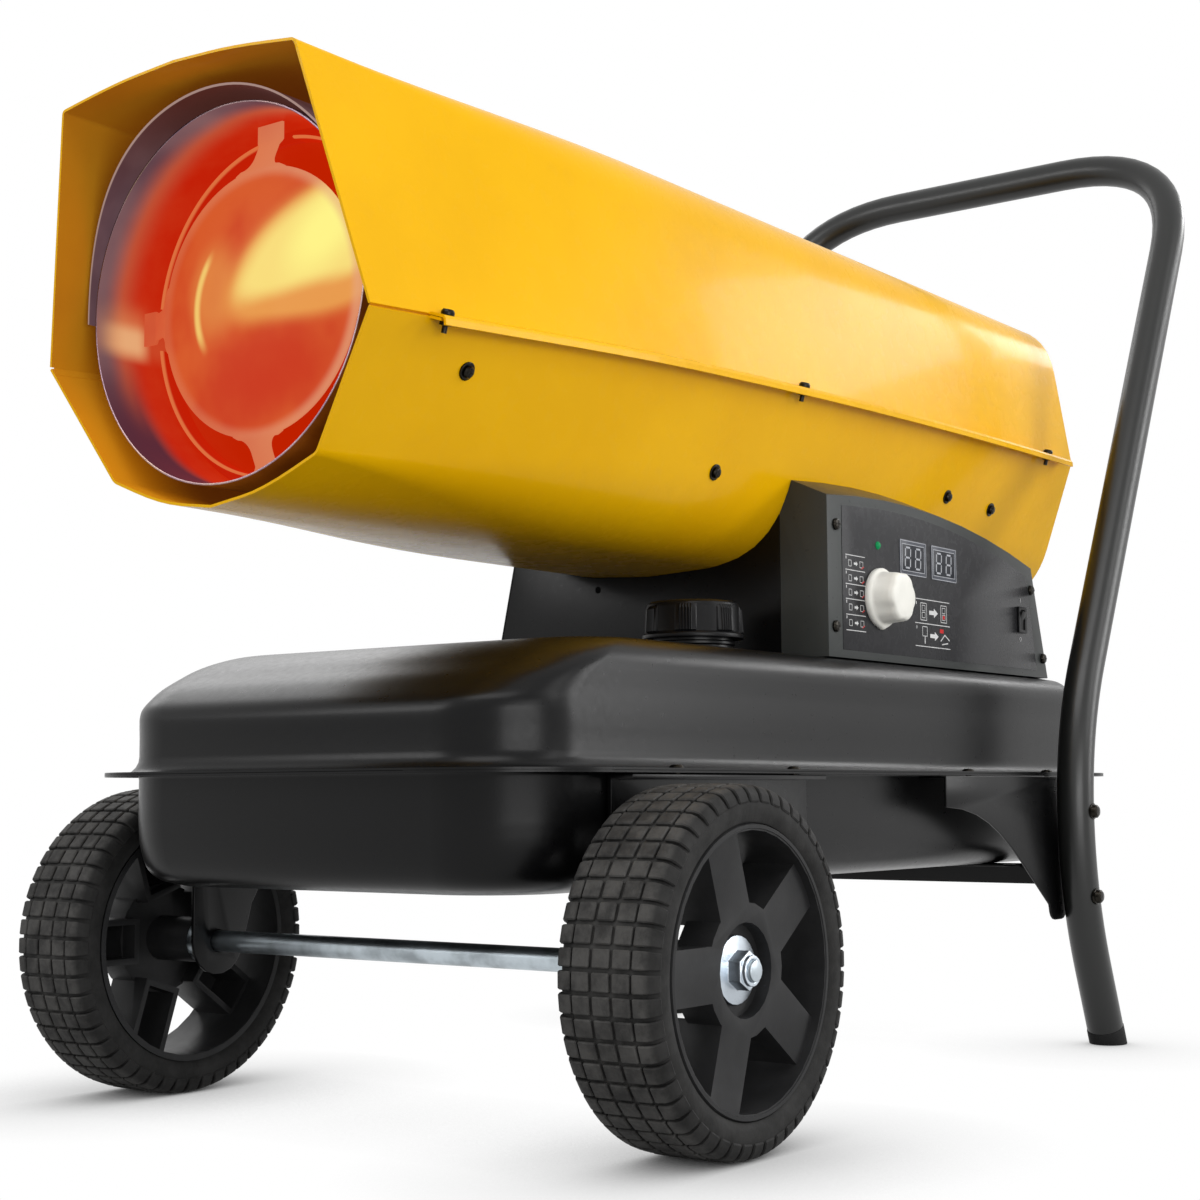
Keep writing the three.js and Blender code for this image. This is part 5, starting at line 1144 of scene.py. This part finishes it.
def grip_pad():
    """A raised pad with ribs, on the cap's side, at the angle 0 about the origin."""
    half = math.radians(14)
    turns = [(-half, 0), (-half * 0.86, 1.4)]
    for k in range(5):
        a = math.radians(3.4 * k - 6.8)
        turns += [(a - 0.018, 1.4), (a, 2.3), (a + 0.018, 1.4)]
    turns += [(half * 0.86, 1.4), (half, 0)]
    rings = []
    for z, k in ((CAP_LOW + 3.6, 0.2), (CAP_LOW + 4.6, 1), (CAP_HIGH - 6, 0.85), (CAP_HIGH - 3.4, 0)):
        ring = []
        for off, raised in turns:
            a = off + math.radians(CAP_TURN)
            r = CAP_R - 2.5 - 0.04 * (z - CAP_LOW - 4) + raised * k
            ring.append(Vector((r * math.cos(a), r * math.sin(a), z)) * MM)
        rings.append(ring)
    points, faces = grid(rings)
    return link("grip_pad", mesh_of("grip_pad", points, faces))


grips = circle_of("cap_grips", grip_pad(), CAP_PADS, (0, 0, 1), (*FILLER, 0), black_plastic, 25)
cap = joined(cap_body, grips)
smooth(cap.data, 30)
dress(cap, "fuel_cap")
print("cap:", CAP_PADS, "grip pads")

# %% [markdown]
# ## Wheels
# A tyre is a turned carcass with rows of rubber blocks. A row has three blocks and a lug on each
# shoulder. Each is a short prism, and the circle tree sets 52 copies of the row round the wheel.

# %% Tyres
WHEEL_X, TREAD_ROWS = 221.6, 52
CARCASS = [(80.2, -29), (82, -30.4), (86, -31.3), (90.5, -31.3), (93.4, -30.2), (96.2, -27.8), (98.3, -24),
           (99.3, -18), (99.6, -9), (99.6, 0)]
carcass_line = CARCASS + [(r, -x) for r, x in reversed(CARCASS[:-1])]
SHOULDER = [(19.6, 101.2), (25.5, 100.7), (28.6, 99.2), (31.0, 95.6), (32.0, 91.4), (30.2, 90.6),
            (28.0, 93.5), (25.5, 96.5), (19.6, 97.5)]
BLOCK_HALF_W, BLOCK_HALF_L, GROOVE_R = 5.4, 5.0, 97.5


def tread_row():
    """Blocks of one row, as outlines in x and radius with a length along the circumference."""
    shapes = [box_of(x - BLOCK_HALF_W, TYRE_R, x + BLOCK_HALF_W, GROOVE_R) for x in (-12.9, 0, 12.9)]
    shapes += [SHOULDER, [(-x, r) for x, r in reversed(SHOULDER)]]
    points, faces = [], []
    for outline in shapes:
        more, sides = prism(outline, -BLOCK_HALF_L, BLOCK_HALF_L,
                            lambda x, r, y: Vector((x, y * r / TYRE_R, r)) * MM)
        faces += [tuple(i + len(points) for i in side) for side in sides]
        points += more
    made = link("tread_row", outward(mesh_of("tread_row", points, faces)))
    return bake(bevelled(made, 0.7, 1, 20), 30)


for side, sign in (("left", 1), ("right", -1)):
    centre = (sign * WHEEL_X, 0, AXLE_Z)
    tyre = lathe(side + "_tyre_carcass", carcass_line, "x", centre, tyre_rubber, 2 * TREAD_ROWS)
    smooth(tyre.data, 40)
    tread = circle_of(side + "_tread", tread_row(), TREAD_ROWS, (1, 0, 0), centre, tyre_rubber, 30)
    dress(joined(tyre, tread), side + "_tyre")
print("tyres:", TREAD_ROWS, "rows of five blocks each")

# %% [markdown]
# The rims are moulded in one piece with five flat spokes, and the axle ends carry a zinc-plated washer
# and a lock nut. A bead along each rim's edge catches the light, as on the real wheel.

# %% Rims, nuts and axle
for side, sign in (("left", 1), ("right", -1)):
    softened(side + "_rim", rim_plastic, 0.9, 30, 3)
    softened(side + "_axle_nut", zinc, 0.5, 30, 3)
    softened(side + "_axle_spacer", zinc_rod, 0.4)
    for end, face in (("out", 1), ("in", -1)):
        x = WHEEL_X + face * 29.2
        bead_line = [(76.2, x - 0.8), (77.2, x + 0.9), (79.2, x + 0.9), (80, x - 0.8)]
        bead = lathe(f"{side}_bead_{end}", bead_line, "x", (0, 0, AXLE_Z), rim_plastic, 96)
        if sign < 0:
            bead.data.transform(Matrix.Scale(-1, 4, (1, 0, 0)))
            bead.data.flip_normals()
        smooth(bead.data, 40)
        add_to(bead, side + "_rim")
softened("axle", zinc_rod, 0.6)
print("rims, nuts and axle are in place")

# %% [markdown]
# ## Handle
# The handle is one bent tube: up from the floor, forward, then back and over as a push bar. Its path
# is straight runs joined by smooth bends, and the tube tree sweeps a circle along it.

# %% Handle and its feet
TUBE_R, HANDLE_HALF, FOOT_H = 14, 207, 14
LEG_FOOT_Y, LEG_KNEE, LEG_WAIST, HANDLE_TOP = 590, (541, 115), (537, 240), (829, 782)
leg_start = (between(LEG_FOOT_Y, LEG_KNEE[0], FOOT_H / LEG_KNEE[1]), FOOT_H)
side_corners = [leg_start, LEG_KNEE, LEG_WAIST, HANDLE_TOP]


def bent_path(corners, bends, steps=14):
    """Straight runs with rounded corners: each bend starts and ends the given length from its corner."""
    path = [corners[0]]
    for corner, after, bend in zip(corners[1:-1], corners[2:], bends):
        start = corner + (path[-1] - corner).normalized() * bend
        end = corner + (after - corner).normalized() * bend
        path += curve_through(start, corner, end, steps)
    return path + [corners[-1]]


FOOT_BEND, KNEE_BEND, TOP_BEND = 56 * MM, 66 * MM, 120 * MM
handle_corners = [spot(HANDLE_HALF, y, z) for y, z in side_corners] + [
    spot(-HANDLE_HALF, y, z) for y, z in reversed(side_corners)]
bends = (FOOT_BEND, KNEE_BEND, TOP_BEND, TOP_BEND, KNEE_BEND, FOOT_BEND)
handle = tubes("handle_tube", bent_path(handle_corners, bends), TUBE_R, tube_black, 40)
dress(handle, "handle")
for name in ("left_foot", "right_foot"):
    softened(name, soft_rubber, 0.8, 30, 3)
for name in ("left_gusset", "right_gusset", "rear_brace", "left_axle_bracket", "right_axle_bracket"):
    softened(name, satin_black, 0.5)
for name in ("air_hose", "fuel_hose"):
    softened(name, hose_rubber, 0.3, 60)
print("handle path has", len(handle.data.polygons), "faces")

# %% [markdown]
# ## Control box
# The box is folded sheet. Its panel carries a printed film with white marks, two display windows with
# unlit segments, a green lamp, a knob and a rocker switch.

# %% Box, guard and switch
for name, finish in {"support_frame": satin_black, "right_side_cover": satin_black,
                     "control_cover": panel_black, "rear_guard": satin_black, "switch_body": black_plastic,
                     "switch_rocker": black_plastic, "power_lamp": lamp_green,
                     "display_board": window_dark}.items():
    softened(name, finish, 0.45, 30, 3)

print("box, guard and switch are in place")

# %% [markdown]
# What lies on the panel is drawn in the panel's own plane, by y and z. A plate is a thin prism with
# softened edges, and a mark is a flat outline with the thickness of ink.

# %% Plates and marks
PANEL_X, INK, LINE = 150, 0.06, 0.55


def on_panel(y, z, lift):
    return spot(PANEL_X + lift, y, z)


def plate(name, outline, low, high, finish, bevel):
    """A thin plate on the panel, from an outline in y and z."""
    points, faces = prism(outline, low, high, on_panel)
    made = link(name, outward(mesh_of(name, points, faces)), finish)
    return add_to(bake(bevelled(made, bevel, 2), 30), "control_cover")


def print_marks(name, outlines, finish, lift=0.42):
    """Ink on the panel: each outline is one thin flat mark."""
    points, faces = [], []
    for outline in outlines:
        faces.append(tuple(len(points) + i for i in range(len(outline))))
        points += [on_panel(y, z, lift) for y, z in outline]
    made = link(name, faced(mesh_of(name, points, faces), (1, 0, 0)), finish)
    made.modifiers.new("ink", "SOLIDIFY").thickness = INK * MM
    add_to(bake(made), "control_cover")


def rounded(corners, radius, steps=4):
    """The outline with its corners rounded."""
    out = []
    corners = [Vector(corner) for corner in corners]
    for before, corner, after in zip(corners[-1:] + corners, corners, corners[1:] + corners[:1]):
        reach = min(radius, (before - corner).length / 2, (after - corner).length / 2)
        out += curve_through(corner + (before - corner).normalized() * reach, corner,
                             corner + (after - corner).normalized() * reach, steps)
    return [(p.x, p.y) for p in out]


film_top = curve_through((583.5, 372.5), (432, 411), (282, 397.5), 12)
film_outline = rounded([(281.5, 296.5), (600.5, 296.5)], 0.01, 1) + [(p.x, p.y) for p in film_top]
plate("panel_film", film_outline, 0.0, 0.35, film_grey, 0.15)
print("panel film with", len(film_outline), "corners")

# %% Marks on the film
def stroke(a, b, width=LINE):
    """A straight mark from a to b, as a quadrilateral in y and z."""
    a, b = Vector(a), Vector(b)
    side = (b - a).orthogonal().normalized() * width / 2
    return [a + side, b + side, b - side, a - side]


def frame_marks(y0, z0, y1, z1, width):
    corners = box_of(y0, z0, y1, z1)
    return [stroke(a, b, width) for a, b in zip(corners, corners[1:] + corners[:1])]


def arrow(y, z, length, height):
    neck, thin = y + length * 0.55, height * 0.22
    return [box_of(y, z - thin, neck, z + thin),
            [(neck, z - height / 2), (y + length, z), (neck, z + height / 2)]]


marks, red_marks = [], []
for k, z in enumerate((363.5, 353, 343, 332.5, 321.5, 310.5)):
    marks.append(stroke((286, z), (314, z)))
    if k < 5:
        marks.append(stroke((287, z - 1), (287, z - 3), 0.8))
        marks += arrow(298, z - 5.6, 5.4, 3.6)
        marks += frame_marks(290.5, z - 7.8, 294.5, z - 3.6, 0.4)
        marks += frame_marks(306.5, z - 7.8, 311, z - 3.6, 0.4)
        red_marks.append(stroke((309, z - 8.6), (312.4, z - 6.8), 0.7))
for z in (340.3, 322.3, 305.2):
    marks.append(stroke((388.5, z), (444.5, z)))
for z in (338.2, 320.2):
    marks.append(stroke((391, z), (391, z - 2.2), 0.8))
for y in (397.5, 430):
    marks += frame_marks(y, 324.8, y + 9.5, 337.5, 0.5) + frame_marks(y + 2.4, 326.6, y + 7.1, 330.6, 0.4)
    marks += frame_marks(y + 2.4, 331.8, y + 7.1, 335.8, 0.4)
red_marks.append(box_of(433.2, 327.4, 436.4, 330))
marks += arrow(411, 331, 14, 7) + arrow(412, 313.6, 13.5, 6.6)
marks += frame_marks(400, 313, 407.4, 320, 0.5) + [stroke((403.7, 313), (403.7, 307.4), 1.0)]
marks += [stroke((429, 310.5), (436, 315.5), 0.8), stroke((436, 315.5), (443.5, 311.5), 0.8),
          stroke((431, 308), (441, 309.4), 0.8)]
red_marks.append(box_of(428, 316.6, 434, 319.6))
# The rocker's signs for on and off: a line above it and a small circle below it.
off_sign = [[(570.3 + 1.6 * math.cos(a), 320.4 + 1.6 * math.sin(a)) for a in (start, start + 0.8)]
            for start in np.arange(0, 6.2, 0.785)]
marks.append(stroke((571.9, 350.4), (571.9, 353.6), 0.7))
marks += [stroke(a, b, 0.5) for a, b in off_sign]
print_marks("panel_marks", marks, mark_white)
print_marks("panel_marks_red", red_marks, mark_red)
print("marks:", len(marks) + len(red_marks))

# %% [markdown]
# A display window is a plastic block with a dark pane, on which the unlit digits show as pale bars.
# Seven bars make one digit. Each bar is given by its ends, in half widths and quarter heights.

# %% Display windows
WINDOW_W, WINDOW_H, WINDOW_Z = 41, 26, 369.3
DIGIT_W, DIGIT_H, DIGIT_LEAN, BAR_W, BAR_GAP = 8, 15, 0.06, 1.3, 0.9
BARS = [((-1, 2), (1, 2)), ((-1, 0), (1, 0)), ((-1, -2), (1, -2)), ((-1, 2), (-1, 0)),
        ((1, 2), (1, 0)), ((-1, 0), (-1, -2)), ((1, 0), (1, -2))]


def digit(y, z):
    """The seven bars of a digit, unlit, around y and z."""
    bars, quarter = [], DIGIT_H / 4
    for bar in BARS:
        a, b = [Vector((y + u * DIGIT_W / 2 + v * quarter * DIGIT_LEAN, z + v * quarter)) for u, v in bar]
        gap = (b - a).normalized() * BAR_GAP
        bars.append(stroke(a + gap, b - gap, BAR_W))
    return bars


for number, y in enumerate((386.5, 436)):
    left, low = y - WINDOW_W / 2, WINDOW_Z - WINDOW_H / 2
    right_end, high = left + WINDOW_W, low + WINDOW_H
    block = rounded(box_of(left, low, right_end, high), 1.5)
    pane = rounded(box_of(left + 3, low + 3.4, right_end - 3, high - 3), 1)
    plate(f"window_rim_{number}", block, 0.2, 0.9, window_clear, 0.3)
    plate(f"window_pane_{number}", pane, 0.6, 1.0, window_dark, 0.1)
    bars = digit(y - 8.5, WINDOW_Z) + digit(y + 7.5, WINDOW_Z)
    for inset in (0.6, 3.2):
        bars += frame_marks(left + inset, low + inset, right_end - inset, high - inset, 0.5)
    print_marks(f"window_digits_{number}", bars, segment_pale, 1.06)
print("display windows:", number + 1)

# %% [markdown]
# The knob is moulded: a round skirt with a pointer, and a grip whose sides are slightly hollowed. Its
# radius depends on the angle, so each ring is computed from a cosine, and the skirt is turned.

# %% Knob
KNOB_Y, KNOB_Z, KNOB_R, KNOB_L, KNOB_FACE, KNOB_STEPS = 334, 336, 21.5, 21, 150.3, 96
TIP_ANGLE = 0.24


def knob_ring(x, r, hollow=0.0, tip=0.0):
    """A ring of the knob. Its sides are hollowed by hollow, and its pointer stands out by tip."""
    ring = []
    for a in np.linspace(0, 2 * math.pi, KNOB_STEPS, endpoint=False):
        off_tip = abs((a - math.pi / 2) % (2 * math.pi) - math.pi)
        radius = r - hollow * math.cos(3 * (a + math.pi / 2)) ** 4 + tip * max(0, 1 - off_tip / TIP_ANGLE)
        ring.append(spot(x, KNOB_Y + radius * math.cos(a), KNOB_Z + radius * math.sin(a)))
    return ring + [ring[0]]


def knob_piece():
    face, r, top = KNOB_FACE, KNOB_R, KNOB_FACE + KNOB_L
    rows = [knob_ring(face + x, radius, 0, tip) for x, radius, tip in (
        (0, 8, 0), (0, r - 0.5, 1.0), (0.6, r, 1.2), (3.4, r, 1.2), (4.4, r - 0.8, 0.8),
        (4.8, r - 1.6, 0.3))]
    rows += [knob_ring(face + 5.4, r - 2.2, 0.2), knob_ring(face + 7, r - 2.6, 0.8)]
    rows += [knob_ring(top + x, radius, hollow) for x, radius, hollow in (
        (-5, r - 3.2, 1.5), (-1.8, r - 3.9, 1.5), (-0.6, r - 5, 1.2), (0, r - 6.8, 0.8), (0.1, 8, 0),
        (0.1, MIDDLE / 2, 0))]
    points, faces = grid(rows)
    made = link("thermostat_grip", outward(mesh_of("thermostat_grip", points, faces)), ivory_plastic)
    smooth(made.data, 50)
    return dress(made, "thermostat_knob")


knob_piece()
print("knob:", KNOB_R * 2, "mm across")

# %% [markdown]
# ## Fasteners
# Small fasteners hold the sheets: bolts through the seam's lips, screws with washers on the barrel's
# lower facets, rivets on the tank's flange, screws on the panel and bolts through the handle. Each kind
# is one small pattern, set on points that store the direction to face.

# %% Fastener patterns
def turned_pattern(name, bottom, profile, top, steps=20):
    """A pattern turned about z, from a line of (radius, height) that starts and ends in the middle."""
    line = [(MIDDLE, bottom)] + profile + [(MIDDLE, top)]
    rings = [[Vector((r * math.cos(a), r * math.sin(a), z)) * MM for r, z in line]
             for a in np.linspace(0, 2 * math.pi, steps, endpoint=False)]
    points, faces = grid(rings + [rings[0]])
    return link(name, outward(mesh_of(name, points, faces)))


def cross_head(name, r, high, washer=0.0):
    """A pan head with a cross recess, on a washer where one is given."""
    low = 1.1 if washer else -0.5
    top = low + high
    under = [(washer, -0.4), (washer, 0.8), (washer - 0.5, low)] if washer else []
    dome = [(r, low), (r, low + high * 0.45), (r * 0.82, low + high * 0.85), (r * 0.5, top)]
    head = turned_pattern(name, -0.5, under + dome, top)
    for a, b in ((r * 0.62, r * 0.14), (r * 0.14, r * 0.62)):
        points, faces = prism(box_of(-a, -b, a, b), top + 0.03, top + 0.12,
                              lambda x, y, z: Vector((x, y, z)) * MM)
        joined(head, link("slot", outward(mesh_of("slot", points, faces))))
    return head


PATTERNS = {
    "washer_screw": cross_head("washer_screw", 3.8, 2.4, 5.6),
    "seam_bolt": turned_pattern("seam_bolt", -8.4, [
        (1.6, -8.4), (1.6, -4.4), (3.5, -4.2), (3.5, -1.9), (1.6, -1.7), (1.6, 1.8), (3.9, 1.8), (3.9, 3.4),
        (3, 4.8)], 5, 16),
    "rivet": turned_pattern("rivet", -5, [
        (4.2, -5), (4.2, -3.4), (2, -3), (2, 1.2), (4.6, 1.2), (4.4, 2.4), (3, 3.4)], 3.6, 14),
    "panel_screw": cross_head("panel_screw", 4.2, 3.0),
    "handle_bolt": turned_pattern("handle_bolt", -1, [
        (6.4, -1), (6.4, 0.6), (5.4, 0.9), (5, 3.4), (3.6, 4.6)], 5, 18),
    "hole": turned_pattern("hole", -0.2, [(2.6, -0.2), (2.6, 0.1)], 0.1, 16)}
print("patterns:", ", ".join(PATTERNS))

# %% Where the fasteners sit
def on_lower(y, z, sign):
    """The point and direction on the barrel's lower facet at y and height z."""
    section = half_section(y, -1)
    for a, b in zip(section, section[1:]):
        if b.y <= z <= a.y and a.y - b.y > WELD:
            x = between(a.x, b.x, (a.y - z) / (a.y - b.y))
            slant = (b - a).normalized()
            return spot(sign * x, y, z), (sign * -slant.y, 0, slant.x)
    raise ValueError("no facet at that height")


def on_lip(y, sign):
    s = barrel_at(y)
    return spot(sign * (s["seamX"] + 5.2), y, s["seamZ"] - 1.6), (sign * 0.28, 0, 1)


SIDES, UP = (1, -1), (0, 0, 1)
flange_x, tube_x = TANK["half"] + 11, HANDLE_HALF + TUBE_R - 0.4
fasteners("facet_screws", [on_lower(y, z, sign) for sign in SIDES for y, z in
                           ((-86.5, 434.9), (167.4, 409.4), (493.8, 430.3), (572.6, 428.8))],
          PATTERNS["washer_screw"], "lower_shell")
fasteners("seam_bolts", [on_lip(y, sign) for y in (-123.4, 236.6, 637.6) for sign in SIDES],
          PATTERNS["seam_bolt"], "upper_shell")
fasteners("flange_rivets", [(spot(sign * flange_x, y, TANK["flange"]), UP) for sign in SIDES
                            for y in (33, 165, 412, 550)], PATTERNS["rivet"], "tank_upper")
fasteners("panel_screws", [(on_panel(y, z, 0.3), (1, 0, 0)) for y, z in
                           ((273.5, 383.3), (271.5, 312.0), (592, 361.8), (612.5, 306.7))],
          PATTERNS["panel_screw"], "control_cover")
fasteners("handle_bolts", [(spot(sign * tube_x, y, z), (sign, 0, 0)) for sign in SIDES
                           for y, z in ((540, 182), (543, 117))], PATTERNS["handle_bolt"], "handle")
# A thin black disc stands for the hole in the front wall: painted shade.
fasteners("front_wall_hole", [(spot(-47, 262, 349), (0, -1, 0))], PATTERNS["hole"], "support_frame",
          hole_painted_shade)
print("fasteners are in place")

# %% [markdown]
# ## Floor, light and background
# The floor and the world are white for the camera and in reflections, through Light Path, while the
# light that falls on the heater stays at a plain level. The floor keeps the heater's shadow: its white
# is dimmed near what stands on it.

# %% Stage
def seen_directly(graph):
    """1 for camera, glossy and transmission rays."""
    path = graph.add("ShaderNodeLightPath")
    camera_ray, glossy_ray, transmission_ray = [
        Wire(graph, path.outputs[f"Is {kind} Ray"]) for kind in ("Camera", "Glossy", "Transmission")]
    return camera_ray.larger(glossy_ray.larger(transmission_ray))


def mixed(graph, plain_shader, seen_shader, output):
    """The first shader lights the heater, and the second is what the rays above see."""
    mix = graph.add("ShaderNodeMixShader", None, {0: seen_directly(graph)})
    graph.tree.links.new(plain_shader.outputs[0], mix.inputs[1])
    graph.tree.links.new(seen_shader.outputs[0], mix.inputs[2])
    graph.tree.links.new(mix.outputs[0], output.inputs[0])


AMBIENT, SHADOW_REACH, SHADOW_POWER, FLOOR_HALF = 0.36, 0.14, 0.95, 14
world = bpy.data.worlds.new("studio")
world.use_nodes = True
bpy.context.scene.world = world
sky = Graph(world.node_tree)
sky.tree.nodes.clear()
ambient = sky.add("ShaderNodeBackground", None, {"Color": (1, 1, 1, 1), "Strength": AMBIENT})
white = sky.add("ShaderNodeBackground", None, {"Color": (1, 1, 1, 1), "Strength": 1.0})
mixed(sky, ambient, white, sky.add("ShaderNodeOutputWorld"))

floor_finish = Finish("floor_white", Roughness=0.9, Specular_IOR_Level=0.0, Base_Color=(0.4, 0.4, 0.4, 1))
shade = floor_finish.node("ShaderNodeAmbientOcclusion", {"samples": 8}, {"Distance": SHADOW_REACH},
                          out="AO")
glow = floor_finish.add("ShaderNodeEmission", None, {"Color": (1, 1, 1, 1)})
floor_finish.tree.links.new((shade ** SHADOW_POWER).socket, glow.inputs["Strength"])
mixed(floor_finish, floor_finish.shader, glow, floor_finish.output)
corners = [(x * FLOOR_HALF, y * FLOOR_HALF, 0) for x, y in ((-1, -1), (1, -1), (1, 1), (-1, 1))]
floor = link("floor", mesh_of("floor", corners, [(0, 1, 2, 3)]), floor_finish)
print("the floor is", 2 * FLOOR_HALF, "m wide")

# %% [markdown]
# Seven soft boxes stand round the heater. The key lamp is above the outlet, and the others fill the
# sides, the barrel's underside and the handle.

# %% Lamps
def softbox(name, place, target, size, watts):
    lamp = bpy.data.lights.new(name, "AREA")
    lamp.shape = "RECTANGLE"
    lamp.size, lamp.size_y = size
    lamp.energy = watts
    made = link(name, lamp)
    made.location = place
    made.rotation_euler = (Vector(target) - Vector(place)).to_track_quat("-Z", "Y").to_euler()


softbox("key", (0.6, -1.6, 2.3), (0, 0, 0.4), (1.8, 1.2), 22)
softbox("side", (2.4, 0.3, 1.6), (0, 0.1, 0.4), (0.6, 1.8), 10)
softbox("low_side", (1.7, -1.1, 0.35), (0.1, 0.0, 0.5), (1.3, 0.5), 12)
softbox("left", (-1.9, 0.85, 1.75), (0, 0, 0.4), (1.4, 1.2), 9)
softbox("front_left", (-1.2, -2.0, 1.2), (0, 0, 0.3), (0.8, 0.8), 10)
softbox("rear_high", (0.8, 2.3, 1.5), (0.1, 0.3, 0.45), (1.3, 0.3), 9)
softbox("rear_right", (2.1, 1.6, 1.0), (0.2, 0.7, 0.6), (0.8, 1.4), 22)
print("softboxes:", len(bpy.data.lights))

# %% [markdown]
# ## View transform
# The view transform is Standard, so that a colour renders as it is written.

# %% Finish
bpy.context.scene.view_settings.view_transform = "Standard"
